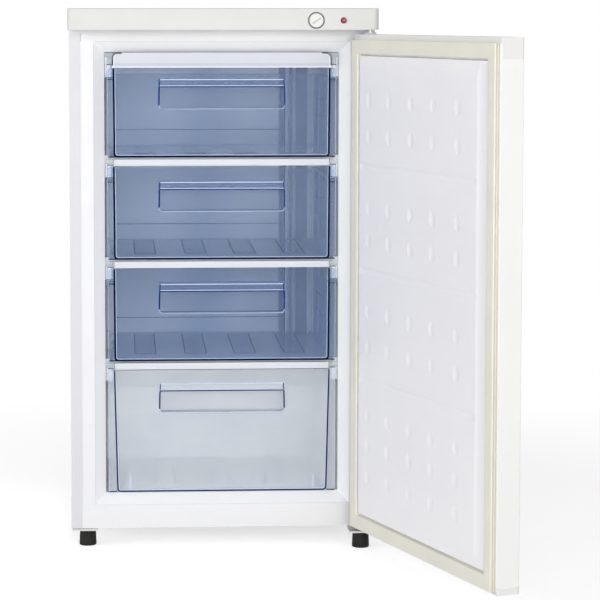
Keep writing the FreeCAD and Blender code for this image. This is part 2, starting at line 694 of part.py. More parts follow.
outer_l, outer_r = -(axis_x + d.gasket_free), d.gasket_hinge - axis_x
seal_in = d.gasket_band + d.field_gap
field_left, field_right = outer_l + seal_in, outer_r - seal_in
field_low, field_high = d.gasket_low + seal_in, d.gasket_high - seal_in
body = new_body("door_liner")
pad(body, "XZ_Plane", [box_loop(x_left, skin_low, x_right,
                                d.door_high - d.cap_lip)], sheet_y, y_in)
pad(body, "XZ_Plane", [box_loop(field_left, field_low, field_right,
                                field_high)], sheet_y, y_in + d.field_rise)
sheet_t = d.panel_sheet
cut(body, "XZ_Plane", [box_loop(field_left + sheet_t, field_low + sheet_t,
                                field_right - sheet_t, field_high - sheet_t)],
    sheet_y, y_in + d.field_rise - sheet_t - d.groove_deep)
grooves = [d.groove_first, d.groove_second, d.groove_third]
cut(body, "XZ_Plane", [box_loop(
    -(axis_x + d.groove_half), z - d.groove_width / 2, d.groove_half - axis_x,
    z + d.groove_width / 2) for z in grooves],
    y_in + d.field_rise - d.groove_deep, y_in + d.field_rise)
put_door(body, "door_liner")

body = new_body("door_foam")
pad(body, "XY_Plane", [box_loop(x_left + d.skin, y_out + d.skin, x_right - d.skin,
                                fold_y)], skin_low, skin_high)
pad(body, "XY_Plane", [box_loop(x_left + d.door_flange, fold_y - 1,
                                x_right - d.door_flange, sheet_y)],
    skin_low, skin_high)
pad(body, "XZ_Plane", [box_loop(field_left + sheet_t, field_low + sheet_t,
                                field_right - sheet_t, field_high - sheet_t)],
    sheet_y - 1, y_in + d.field_rise - sheet_t - d.groove_deep)
put_door(body, "door_foam")

body = new_body("door_gasket")
pad(body, "XZ_Plane", [
    box_loop(outer_l, d.gasket_low, outer_r, d.gasket_high),
    box_loop(outer_l + d.gasket_band, d.gasket_low + d.gasket_band,
             outer_r - d.gasket_band, d.gasket_high - d.gasket_band)],
    y_in, y_in + d.gasket_tall)
put_door(body, "door_gasket")

# Flanged bushes in the caps, both alike; the door turns on them.
def bush(flange_up):
    ring = Part.makeCylinder(d.bush_radius.value, d.bush_length.value)
    bore = Part.makeCylinder(
        d.pin_radius.value + d.pin_gap.value, d.bush_length.value * 2,
        FreeCAD.Vector(0, 0, -d.bush_length.value / 2))
    rim = Part.makeCylinder(
        d.bush_flange.value, d.bush_rim.value, FreeCAD.Vector(
            0, 0, d.bush_length.value if flange_up else -d.bush_rim.value))
    return ring.fuse(rim).cut(bore)


low_bush, high_bush = bush(False), bush(True)
low_bush.translate(FreeCAD.Vector(0, 0, d.door_low.value))
high_bush.translate(FreeCAD.Vector(0, 0, d.door_high.value - d.bush_length.value))
thing = feature("hinge_bushes", Part.makeCompound([low_bush, high_bush]))
thing.setExpression("Placement.Base.x", (row_x + axis_x).text)
thing.setExpression("Placement.Base.y", (row_y + axis_y).text)

# ---------------------------------------------------------------- hinge brackets
def bracket(name, z0, z1, tail, pin_low, pin_high, holes):
    """A flat bracket that reaches out under or over the door and carries its pin."""
    body = new_body(name)
    pad(body, "XY_Plane", [box_loop(-d.plate_half, -d.plate_nose, d.plate_side,
                                    tail)], z0, z1)
    pad(body, "XY_Plane", [disc(0, 0, d.pin_radius)], pin_low, pin_high)
    cut(body, "XY_Plane", [disc(x, y, r) for x, y, r in holes], z0 - 0.5, z1 + 0.5)
    return body


tail = d.plate_back - axis_y
screw_hole = d.shank_radius + d.screw_gap
screw_spots = [(-9, -axis_y + 18), (-9, -axis_y + 44)]
body = bracket("top_hinge_bracket", d.cab_top, d.cab_top + d.plate_thick, tail,
               d.door_high - d.bush_length + 1, d.cab_top + d.plate_thick,
               [(x, y, screw_hole) for x, y in screw_spots])
place(body, "top_hinge_bracket", axis_x, axis_y)

foot_x, foot_y = d.right_foot_x - axis_x, d.right_foot_y - axis_y
stud_hole = d.stud_radius + d.stud_gap
low_top, low_low = d.cab_bottom, d.cab_bottom - d.plate_thick
body = bracket("bottom_hinge_bracket", low_low, low_top, tail, low_low,
               d.door_low + d.bush_length - 1,
               [(foot_x, foot_y, stud_hole)]
               + [(x, y, screw_hole) for x, y in screw_spots])
place(body, "bottom_hinge_bracket", axis_x, axis_y)

body = new_body("left_foot_plate")
pad(body, "XY_Plane", [box_loop(-24, -32, 17, 35)], low_low, low_top)
cut(body, "XY_Plane", [disc(0, 0, stud_hole), disc(-10, 22, screw_hole),
                       disc(8, 22, screw_hole)], low_low - 0.5, low_top + 0.5)
place(body, "left_foot_plate", d.left_foot_x, d.left_foot_y)


def screw(x, y, face, up):
    """A pan-head screw whose head bears on a face and whose shank goes into it."""
    radius, head = d.screw_radius.value, d.screw_head.value
    shank, grip = d.shank_radius.value, d.plate_thick.value
    way = 1 if up else -1
    axis = FreeCAD.Vector(0, 0, way)
    top = Part.makeCylinder(radius, head, FreeCAD.Vector(x, y, face), axis)
    stem = Part.makeCylinder(shank, grip, FreeCAD.Vector(x, y, face - way * grip),
                             axis)
    return top.fuse(stem)


hinge_spots = [(axis_x.value + as_size(x).value, axis_y.value + y.value)
               for x, y in screw_spots]
feature("top_hinge_screws", Part.makeCompound(
    [screw(x, y, d.cab_top.value + d.plate_thick.value, True)
     for x, y in hinge_spots]))
plate_spots = [(d.left_foot_x.value + dx, d.left_foot_y.value + 22)
               for dx in (-10, 8)]
feature("bottom_plate_screws", Part.makeCompound(
    [screw(x, y, low_low.value, False) for x, y in hinge_spots + plate_spots]))

# ---------------------------------------------------------------- feet
for side, x, y in (("left", d.left_foot_x, d.left_foot_y),
                   ("right", d.right_foot_x, d.right_foot_y)):
    body = new_body(f"levelling_foot_{side}")
    pad(body, "XY_Plane", [disc(0, 0, d.foot_radius)], 0, d.foot_height - 6)
    pad(body, "XY_Plane", [disc(0, 0, d.foot_radius - d.foot_taper)],
        d.foot_height - 6, d.foot_height)
    pad(body, "XY_Plane", [disc(0, 0, d.stud_radius)], d.foot_height,
        low_top - 0.3)
    place(body, f"levelling_foot_{side}", x, y)

for side, sign in (("left", -1), ("right", 1)):
    body = new_body(f"rear_foot_{side}")
    pad(body, "XY_Plane", [disc(0, 0, d.foot_radius)], 0, d.cab_bottom)
    place(body, f"rear_foot_{side}", d.rear_foot_x * sign, d.rear_foot_y)

# ---------------------------------------------------------------- machine bay
tray_top = d.cab_bottom + d.tray_thick
body = new_body("compressor_tray")
tray_half = half - d.rear_flange
pad(body, "XY_Plane", [box_loop(-tray_half, d.tray_front, tray_half, d.tray_rear)],
    d.cab_bottom, tray_top)
pad(body, "XZ_Plane", [box_loop(-tray_half, d.cab_bottom, tray_half,
                                d.cab_bottom + 18)],
    d.tray_rear - d.tray_thick, d.tray_rear)
place(body, "compressor_tray")

spots = [(sx * d.mount_x, sy * d.mount_y) for sx in (-1, 1) for sy in (-1, 1)]
body = None
rings = []
for x, y in spots:
    ring = Part.makeCylinder(d.grommet_radius.value, d.grommet_height.value,
                             FreeCAD.Vector(x.value, y.value, 0))
    rings.append(ring)
feature("compressor_grommets", Part.makeCompound(rings), d.comp_x, d.comp_y,
        tray_top)

foot_z = tray_top + d.grommet_height
body = new_body("compressor")
pad(body, "XY_Plane", [box_loop(-d.mount_x - 10, -d.mount_y - 10, d.mount_x + 10,
                                d.mount_y + 10)], 0, d.comp_foot)
pad(body, "XY_Plane", [disc(0, 0, d.comp_radius)], d.comp_foot, d.comp_height)
crown = d.comp_height
round_edges(body, d.comp_radius * 0.5,
            lambda b: close(b.ZMin, crown) and close(b.ZMax, crown))
pad(body, "XY_Plane", [disc(0, 0, d.comp_flange)], d.comp_height * 0.55,
    d.comp_height * 0.55 + 3)
place(body, "compressor", d.comp_x, d.comp_y, foot_z)

body = new_body("compressor_terminal_cover")
pad(body, "YZ_Plane", [box_loop(-d.cover_width / 2, 0, d.cover_width / 2,
                                d.cover_height)], d.comp_radius, d.comp_radius + 26)
cut(body, "XY_Plane", [disc(0, 0, d.comp_radius + 0.3)], -1, d.cover_height + 1)
cut(body, "YZ_Plane", [box_loop(-d.cover_width / 2 + 2, 2, d.cover_width / 2 - 2,
                                d.cover_height - 2)],
    d.comp_radius - 1, d.comp_radius + 24)
place(body, "compressor_terminal_cover", d.comp_x, d.comp_y, foot_z + 12)

body = new_body("mains_gland")
pad(body, "YZ_Plane", [disc(0, 0, d.gland_radius)], 0, d.gland_length)
cut(body, "YZ_Plane", [disc(0, 0, d.gland_radius * 0.5)], -1, d.gland_length + 1)
place(body, "mains_gland", d.comp_x + d.comp_radius + 26, d.comp_y, foot_z + 26)

# ---------------------------------------------------------------- condenser
pitch = d.grid_pitch.value
grid = snake(int(d.grid_runs.value), d.grid_half.value, d.grid_low.value, pitch,
             pitch / 2, d.grid_y.value, upright=True)
grid_parts = [tube(grid, d.grid_tube.value, pitch / 2 - 0.01)]
count = int(d.grid_wires.value)
grid_high = d.grid_low.value + pitch * (d.grid_runs.value - 1)
wire_y = d.grid_y.value + d.grid_tube.value + d.grid_wire.value - 0.4
for i in range(count):
    x = (i / (count - 1) - 0.5) * 2 * (d.grid_half.value - 30)
    grid_parts.append(rod((x, wire_y, d.grid_low.value - 8),
                          (x, wire_y, grid_high + 8), d.grid_wire.value))
feature("condenser", grid_parts[0].fuse(grid_parts[1:]).removeSplitter())

stays = []
for z in (grid_high - pitch / 2, d.grid_low.value + pitch / 2):
    for sign in (-1, 1):
        x = sign * (d.grid_half.value + d.grid_tube.value + 5.3)
        stays.append(Part.makeBox(
            10, d.grid_y.value - d.cab_depth.value, 10,
            FreeCAD.Vector(x - 5, d.cab_depth.value, z - 5)))
feature("condenser_brackets", Part.makeCompound(stays))

doc.recompute()

# ---------------------------------------------------------------- checks and files
os.makedirs("parts", exist_ok=True)
for thing in doc.Objects:
    if "Invalid" in thing.State or "Error" in thing.State:
        raise RuntimeError(f"{thing.Label}: {thing.State}")
for thing in NODES:
    if thing.Shape.isNull() or not thing.Shape.isValid() or not thing.Shape.Solids:
        raise RuntimeError(f"{thing.Label}: shape is not a valid solid")
    thing.Shape.exportStep(f"parts/{thing.Label}.step")
print(len(NODES), "sub-parts written")
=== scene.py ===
import math

import bmesh
import bpy
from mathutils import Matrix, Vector


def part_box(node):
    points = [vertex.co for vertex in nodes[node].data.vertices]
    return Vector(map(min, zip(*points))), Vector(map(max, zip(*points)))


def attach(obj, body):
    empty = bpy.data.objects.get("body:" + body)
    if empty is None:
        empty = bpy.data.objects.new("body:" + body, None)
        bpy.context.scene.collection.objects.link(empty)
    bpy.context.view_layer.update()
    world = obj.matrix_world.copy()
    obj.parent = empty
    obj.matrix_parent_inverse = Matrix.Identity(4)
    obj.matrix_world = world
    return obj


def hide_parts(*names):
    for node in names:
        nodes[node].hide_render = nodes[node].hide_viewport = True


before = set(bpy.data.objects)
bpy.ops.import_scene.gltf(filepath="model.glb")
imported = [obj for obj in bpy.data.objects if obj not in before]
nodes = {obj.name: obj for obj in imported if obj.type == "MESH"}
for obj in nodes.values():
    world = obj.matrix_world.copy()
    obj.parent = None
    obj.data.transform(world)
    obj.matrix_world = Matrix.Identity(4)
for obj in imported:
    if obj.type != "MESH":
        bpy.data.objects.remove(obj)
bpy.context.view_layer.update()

# Cabinet axes in millimetres: x = 0 at the cabinet's centre, y = 0 at its front face,
# z = 0 on the floor.  at() turns them into the row frame's metres.
lid_low, lid_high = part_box("worktop")
CX, CY = (lid_low.x + lid_high.x) / 2, lid_low.y + 0.050


def at(x, y, z):
    return Vector((CX + x / 1000, CY + y / 1000, z / 1000))


def middle_of(node):
    low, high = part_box(node)
    return (low + high) / 2


def tone(r, g, b):
    """A colour read on the 0-255 screen scale, as linear light."""
    return [((v / 255) / 12.92 if v <= 10 else ((v / 255 + 0.055) / 1.055) ** 2.4)
            for v in (r, g, b)]


# ------------------------------------------------------------------ materials
def math_node(tree, kind, a, b=0.0):
    node = tree.nodes.new("ShaderNodeMath")
    node.operation = kind
    for socket, value in zip(node.inputs, (a, b)):
        if isinstance(value, bpy.types.NodeSocket):
            tree.links.new(value, socket)
        else:
            socket.default_value = value
    return node.outputs[0]


def seen_rays(tree):
    """1 for rays that show a thing to the eye: direct, mirrored or through a face."""
    rays = tree.nodes.new("ShaderNodeLightPath").outputs
    return math_node(tree, "MAXIMUM", rays["Is Camera Ray"], math_node(
        tree, "MAXIMUM", rays["Is Glossy Ray"], rays["Is Transmission Ray"]))


class Finish:
    """A procedural material: noise in metres drives its colour, gloss and relief, and
    position masks lay painted shade and painted highlights over it, at seams, slots and
    edges."""

    def __init__(self, name, colour, rough=0.4, spread=0.03, patch=9, grain=900,
                 relief=0.00002, rough_spread=0.06, specular=0.5, metallic=0.0):
        self.mat = bpy.data.materials.new(name)
        self.mat.use_nodes = True
        self.tree = self.mat.node_tree
        self.bsdf = self.tree.nodes["Principled BSDF"]
        self.place = self.add("ShaderNodeTexCoord").outputs["Object"]
        self.bsdf.inputs["Metallic"].default_value = metallic
        self.bsdf.inputs["Specular IOR Level"].default_value = specular
        low = [c * (1 - spread) for c in colour]
        high = [min(1, c * (1 + spread)) for c in colour]
        cloud = self.noise(patch, 3)
        self.colour = self.blend(cloud, low, high)
        self.link(self.colour, self.bsdf.inputs["Base Color"])
        fine = self.noise(grain, 2)
        self.link(self.span(self.noise(patch * 5, 4), rough - rough_spread,
                            rough + rough_spread), self.bsdf.inputs["Roughness"])
        bump = self.add("ShaderNodeBump")
        bump.inputs["Strength"].default_value = 1
        bump.inputs["Distance"].default_value = relief
        self.link(fine, bump.inputs["Height"])
        self.link(bump.outputs["Normal"], self.bsdf.inputs["Normal"])

    def add(self, kind, **settings):
        node = self.tree.nodes.new(kind)
        for key, value in settings.items():
            setattr(node, key, value)
        return node

    def link(self, source, target):
        self.tree.links.new(source, target)

    def noise(self, scale, detail):
        node = self.add("ShaderNodeTexNoise")
        node.inputs["Scale"].default_value = scale
        node.inputs["Detail"].default_value = detail
        self.link(self.place, node.inputs["Vector"])
        return node.outputs["Fac"]

    def span(self, value, low, high, start=0.3, end=0.7):
        node = self.add("ShaderNodeMapRange")
        self.link(value, node.inputs["Value"])
        for key, number in (("From Min", start), ("From Max", end),
                            ("To Min", low), ("To Max", high)):
            node.inputs[key].default_value = number
        return node.outputs["Result"]

    def blend(self, value, low, high, start=0.3, end=0.7):
        node = self.add("ShaderNodeMix", data_type="RGBA")
        self.link(self.span(value, 0, 1, start, end), node.inputs["Factor"])
        for key, colour in (("A", low), ("B", high)):
            socket = next(s for s in node.inputs if s.name == key and s.type == "RGBA")
            if isinstance(colour, bpy.types.NodeSocket):
                self.link(colour, socket)
            else:
                socket.default_value = (*colour, 1)
        return next(s for s in node.outputs if s.type == "RGBA")

    def math(self, kind, a, b=0.0):
        return math_node(self.tree, kind, a, b)

    def axis(self, name):
        node = self.add("ShaderNodeSeparateXYZ")
        self.link(self.place, node.inputs[0])
        return node.outputs[name]

    def near(self, value, centre, half, soft):
        """1 where value lies within half of centre, falling to 0 over soft."""
        far = self.math("ABSOLUTE", self.math("SUBTRACT", value, centre))
        return self.span(far, 1, 0, half, half + soft)

    def slab(self, name, centre, half, soft):
        """near() along one axis of the row frame."""
        return self.near(self.axis(name), centre, half, soft)

    def both(self, *masks):
        total = masks[0]
        for mask in masks[1:]:
            total = self.math("MULTIPLY", total, mask)
        return total

    def repaint(self, mask, colour):
        """Lays another colour over the base where mask is 1."""
        node = self.add("ShaderNodeMix", data_type="RGBA")
        self.link(mask, node.inputs["Factor"])
        a, b = [s for s in node.inputs if s.type == "RGBA"][:2]
        self.link(self.colour, a)
        b.default_value = (*colour, 1)
        self.colour = next(s for s in node.outputs if s.type == "RGBA")
        self.link(self.colour, self.bsdf.inputs["Base Color"])


enamel = Finish("white_enamel", tone(235, 235, 236), 0.4, 0.01, 7, 260, 0.000008,
                specular=0.3)
lid_paint = Finish("worktop_plastic", tone(220, 220, 217), 0.46, 0.01, 8, 320, 0.00001,
                   specular=0.3)
cap_paint = Finish("cap_plastic", tone(238, 237, 235), 0.45, 0.012, 12, 300, 0.00001,
                   specular=0.3)
liner_paint = Finish("liner_sheet", tone(247, 248, 250), 0.4, 0.008, 9, 120, 0.00001)
field_paint = Finish("door_liner_sheet", tone(248, 247, 250), 0.4, 0.01, 11, 90,
                     0.00001)
trim_paint = Finish("trim_plastic", tone(219, 222, 229), 0.42, 0.012, 20, 260, 0.000008,
                    specular=0.3)
# painted shade: the top band's colour is set a little darker than the trims' for the shade
# under the worktop
shaded_band_paint = Finish("band_plastic_shaded", tone(211, 216, 224), 0.42, 0.012, 20, 260, 0.000008,
                    specular=0.3)
skin_paint = Finish("door_enamel", tone(246, 246, 245), 0.4, 0.01, 7, 260, 0.000008,
                    specular=0.3)
dial_paint = Finish("dial_plastic", tone(229, 229, 225), 0.4, 0.01, 30, 320, 0.00001,
                    specular=0.3)
seal = Finish("gasket_vinyl", tone(236, 233, 220), 0.5, 0.03, 18, 800, 0.00003)
frosted = Finish("coated_tube", tone(226, 229, 232), 0.45, 0.03, 30, 700, 0.00004)
clip_paint = Finish("nylon", tone(226, 230, 234), 0.45, 0.02, 40, 900, 0.00002)
black_mould = Finish("black_moulding", tone(30, 29, 28), 0.6, 0.2, 60, 900, 0.00003,
                     specular=0.2)
black_coat = Finish("black_enamel", tone(26, 26, 27), 0.35, 0.15, 30, 700, 0.00003)
zinc = Finish("zinc_plate", tone(178, 178, 176), 0.34, 0.08, 60, 900, 0.00002,
              metallic=1)
galvanised = Finish("galvanised_sheet", tone(172, 174, 176), 0.42, 0.12, 70, 500,
                    0.00002, metallic=1)
rubber = Finish("black_rubber", tone(30, 30, 30), 0.75, 0.2, 80, 1500, 0.00006)
foam_paint = Finish("rigid_foam", tone(222, 205, 150), 0.85, 0.06, 60, 900, 0.0003)
red = Finish("red_lens", tone(128, 26, 32), 0.3, 0.1, 200, 900, 0.00001, specular=0.3)


# Painted shade and highlights laid over the plain finishes, and where they lie, in
# row-frame metres.
DIAL, LAMP = middle_of("thermostat_knob"), middle_of("indicator_lens")
FLANGE, SEAM = 0.2285, 0.2192       # the flange's middle and its inner edge, from x = 0
REAR_WALL = at(0, 370, 0).y
SLOT = math.radians(33)


def cabinet_x(finish):
    return finish.math("SUBTRACT", finish.axis("X"), CX)


def offsets(finish, centre):
    """x and z from a centre."""
    return (finish.math("SUBTRACT", finish.axis("X"), centre.x),
            finish.math("SUBTRACT", finish.axis("Z"), centre.z))


def ring_mask(finish, centre, radius, half, soft):
    """A ring about an axis along y."""
    x, z = offsets(finish, centre)
    far = finish.math("SQRT", finish.math("ADD", finish.math("MULTIPLY", x, x),
                                          finish.math("MULTIPLY", z, z)))
    return finish.near(far, radius, half, soft)


def rear_wall_mask(x, half, soft):
    """An upright stripe on the liner's rear wall."""
    return liner_paint.both(liner_paint.near(cabinet_x(liner_paint), x, half, soft),
                            liner_paint.slab("Y", REAR_WALL, 0.02, 0.01),
                            liner_paint.slab("Z", 0.52, 0.235, 0.01))


# painted shade on the folded flange of the side panels, which faces the lamps, a painted
# highlight along its inner edge, and painted shade in an open slit under the worktop
across = enamel.math("ABSOLUTE", cabinet_x(enamel))
for x, half, soft, z, tall, fade, shade in (
        (FLANGE, 0.0084, 0.0003, 0.412, 0.392, 0.004, (219, 219, 221)),
        (SEAM, 0.0005, 0.0003, 0.425, 0.364, 0.004, (255, 255, 255)),
        (SEAM, 0.0007, 0.0004, 0.7985, 0.0078, 0.001, (196, 198, 202))):
    enamel.repaint(enamel.both(enamel.near(across, x, half, soft),
                               enamel.slab("Z", z, tall, fade)), tone(*shade))
# the corner behind the risers lies in shade
liner_paint.repaint(rear_wall_mask(0.1375, 0.0225, 0.004), tone(96, 108, 128))
# painted shade: the middle of the rear wall is a little darker than its sides
liner_paint.repaint(rear_wall_mask(-0.018, 0.012, 0.06), tone(210, 219, 234))
# painted shade: the liner's flat flange faces the lamps as the steel flanges do, so it is
# painted a little darker
liner_paint.repaint(liner_paint.slab("Y", CY, 0.0014, 0.0006), tone(233, 233, 236))
# dial: painted shade in its diagonal slot, with a painted highlight along one side and
# painted shadow along the other, a ring of painted shade near its rim, and painted shade
# in the gap round it in the worktop
x, z = offsets(dial_paint, DIAL)
along = dial_paint.math("ADD", dial_paint.math("MULTIPLY", x, math.cos(SLOT)),
                        dial_paint.math("MULTIPLY", z, math.sin(SLOT)))
off = dial_paint.math("SUBTRACT", dial_paint.math("MULTIPLY", z, math.cos(SLOT)),
                      dial_paint.math("MULTIPLY", x, math.sin(SLOT)))
for centre, half, shade in ((0, 0.0013, (206, 207, 205)),
                            (0.0016, 0.0003, (244, 244, 242)),
                            (-0.0016, 0.0003, (190, 191, 190))):
    dial_paint.repaint(dial_paint.both(dial_paint.near(off, centre, half, 0.0003),
                                       dial_paint.near(along, 0, 0.0066, 0.0008)),
                       tone(*shade))
dial_paint.repaint(ring_mask(dial_paint, DIAL, 0.0108, 0.0003, 0.0006),
                   tone(196, 197, 195))
lid_paint.repaint(lid_paint.both(ring_mask(lid_paint, DIAL, 0.0125, 0.0004, 0.0006),
                                 lid_paint.slab("Y", DIAL.y, 0.03, 0.01)),
                  tone(150, 151, 150))
# pilot lamp: a dark dome with a painted highlight, a pale glint
red.repaint(ring_mask(red, LAMP + Vector((0.0007, 0, 0.0005)), 0, 0.0006, 0.0022),
            tone(196, 92, 94))
# the top band is rolled, painted as light and shade: a soft painted shade above a painted
# bright lower edge, and painted bright ends
band_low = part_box("top_trim_band")[0].z
shaded_band_paint.repaint(shaded_band_paint.slab("Z", band_low + 0.0046, 0.0016, 0.0022),
                   tone(196, 202, 211))
shaded_band_paint.repaint(shaded_band_paint.slab("Z", band_low + 0.0008, 0.0008, 0.0006),
                   tone(234, 238, 246))
shaded_band_paint.repaint(shaded_band_paint.near(shaded_band_paint.math("ABSOLUTE", cabinet_x(shaded_band_paint)),
                                   0.1685, 0.0006, 0.0005), tone(238, 238, 248))


FILM_IOR = 1.33
FLAT_POWER, LAMP_POWER = 2.2, 0.25      # the tint seen edge on, and that of lamplight


def clear(name, tint, body_colour, haze, rough=0.05):
    """Clear plastic a few millimetres thick: each face passes light, tinted, keeps a
    little of it as haze, and mirrors more of it the flatter it is seen.  Light on its
    way to or from the white liner passes almost whole."""
    finish = Finish(name, body_colour, rough, 0.05, 14, 600, 0.000004, 0.02, 0.2)
    rays = finish.add("ShaderNodeLightPath")
    lighting = finish.math("MAXIMUM", rays.outputs["Is Shadow Ray"],
                           rays.outputs["Is Diffuse Ray"])
    film = finish.add("ShaderNodeBsdfTransparent")
    cloud = finish.noise(6, 3)
    low = [c * 0.985 for c in tint]
    high = [min(1, c * 1.01) for c in tint]
    flat = finish.add("ShaderNodeLayerWeight")
    flat.inputs["Blend"].default_value = 0.4
    seen = finish.blend(flat.outputs["Facing"], finish.blend(cloud, low, high),
                        [c ** FLAT_POWER for c in tint], 0.55, 0.95)
    passed = [c ** LAMP_POWER for c in tint]
    finish.link(finish.blend(lighting, seen, passed, 0, 1), film.inputs["Color"])
    fresnel = finish.add("ShaderNodeFresnel")
    fresnel.inputs["IOR"].default_value = FILM_IOR
    share = finish.math("ADD", fresnel.outputs[0], haze)
    share.node.use_clamp = True
    share = finish.math("MULTIPLY", share, finish.span(lighting, 1, 0.25, 0, 1))
    mix = finish.add("ShaderNodeMixShader")
    finish.link(share, mix.inputs[0])
    finish.link(film.outputs[0], mix.inputs[1])
    finish.link(finish.bsdf.outputs[0], mix.inputs[2])
    out = finish.tree.nodes["Material Output"]
    finish.link(mix.outputs[0], out.inputs["Surface"])
    return finish


blue = clear("blue_clear", (0.928, 0.951, 0.98), tone(166, 192, 237), 0.115)
pale = clear("pale_clear", (0.98, 0.99, 1.0), tone(236, 244, 255), 0.27)
pale_tub = clear("pale_tub", (0.985, 0.993, 1.0), tone(240, 246, 255), 0.64)
# blue_floor is a paler, hazier copy of the blue plastic: painted light that brightens the
# basket floors where they lie in shade
blue_floor = clear("blue_floor", (0.95, 0.965, 0.985), tone(190, 210, 244), 0.3)
milk = clear("milky_clear", (0.93, 0.955, 0.975), tone(226, 234, 240), 0.42, 0.2)
# painted highlights: pale lines and glints where the edges of clear parts catch the light
highlight_paint = Finish("painted_edge_highlight", tone(196, 212, 236), 0.3, 0.05, 60, 900, 0.00001)
# painted shade: near-black lines where clear plastic is seen end on and round the finger
# grip; the last finish is painted shadow in narrow gaps
blue_edge, pale_edge, grip_edge, gap_shadow = (
    Finish(name, tone(*shade), 0.8, spread, 60, 900, 0.00001, specular=0.0)
    for name, shade, spread in (
        ("blue_edge", (4, 20, 62), 0.3), ("pale_edge", (34, 50, 96), 0.2),
        ("grip_edge", (16, 50, 124), 0.2), ("seam_shadow", (50, 56, 66), 0.2)))

look = {
    "side_panel_left": enamel, "side_panel_right": enamel, "top_panel": enamel,
    "bottom_panel": enamel, "door_skin": skin_paint, "worktop": lid_paint,
    "thermostat_knob": dial_paint, "door_top_cap": cap_paint, "door_bottom_cap": cap_paint,
    "inner_liner": liner_paint, "door_liner": field_paint, "door_gasket": seal,
    "top_trim_band": shaded_band_paint, "indicator_lens": red, "hinge_bushes": clip_paint,
    "trim_clip_left": milk, "trim_clip_right": milk, "shelf_clips": milk,
    "evaporator_clips": clip_paint, "left_foot_plate": zinc,
    "bottom_hinge_bracket": zinc, "top_hinge_bracket": zinc, "top_hinge_screws": zinc,
    "bottom_plate_screws": zinc, "back_panel": galvanised,
    "machine_bay_panel": galvanised, "compressor_tray": galvanised,
    "compressor": black_coat, "condenser": black_coat, "compressor_grommets": rubber,
    "cabinet_foam": foam_paint, "door_foam": foam_paint,
}
for name, thing in nodes.items():
    if name.startswith(("drawer_front", "drawer_basket")):
        finish = pale if name.endswith("4") else blue
    elif name.startswith("shelf_trim"):
        finish = trim_paint
    elif name.startswith("evaporator") and name not in look:
        finish = frosted
    else:
        finish = look.get(name, black_mould)
    thing.data.materials.clear()
    thing.data.materials.append(finish.mat)

# ------------------------------------------------------------------ pieces
AXIS_X, AXIS_Y, OPEN = 226.82, -30.65, math.radians(109)


def on_door(x, y, z):
    """A point of the closed door, in cabinet millimetres, swung open."""
    x, y = x - AXIS_X, y - AXIS_Y
    return at(AXIS_X + x * math.cos(OPEN) - y * math.sin(OPEN),
              AXIS_Y + x * math.sin(OPEN) + y * math.cos(OPEN), z)


# Painted shade: the door's outer face turns to the lamps when it is shut, so it is painted
# a little less white than its edges, as the front flanges of the cabinet are.
FACE_MIDDLE, FACE_HALF = -0.0162, 0.0024
axis = at(AXIS_X, AXIS_Y, 0)
inward = skin_paint.math("ADD", skin_paint.math(
    "MULTIPLY", skin_paint.math("SUBTRACT", skin_paint.axis("X"), axis.x),
    -math.sin(OPEN)), skin_paint.math(
    "MULTIPLY", skin_paint.math("SUBTRACT", skin_paint.axis("Y"), axis.y), math.cos(OPEN)))
skin_paint.repaint(skin_paint.near(inward, FACE_MIDDLE, FACE_HALF, 0.0006),
                   tone(219, 219, 221))


def piece(name, verts, faces, body, finishes, stands_for=(), slots=None,
          angle=32):
    """Makes a mesh from points in the row frame, attaches it to its body and hides the
    parts it stands for.
    """
    mesh = bpy.data.meshes.new(name)
    mesh.from_pydata([tuple(v) for v in verts], [], faces)
    if not isinstance(finishes, (list, tuple)):
        finishes = [finishes]
    for finish in finishes:
        mesh.materials.append(finish.mat)
    if slots:
        mesh.polygons.foreach_set("material_index", slots)
    bm = bmesh.new()
    bm.from_mesh(mesh)
    bmesh.ops.remove_doubles(bm, verts=bm.verts, dist=1e-6)
    bmesh.ops.recalc_face_normals(bm, faces=bm.faces)
    bm.to_mesh(mesh)
    bm.free()
    thing = bpy.data.objects.new(name, mesh)
    bpy.context.scene.collection.objects.link(thing)
    mesh.polygons.foreach_set("use_smooth", [True] * len(mesh.polygons))
    mod = thing.modifiers.new("shade", "WEIGHTED_NORMAL")
    mod.keep_sharp = True
    mesh.set_sharp_from_angle(angle=math.radians(angle))
    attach(thing, body)
    if stands_for:
        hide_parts(*stands_for)


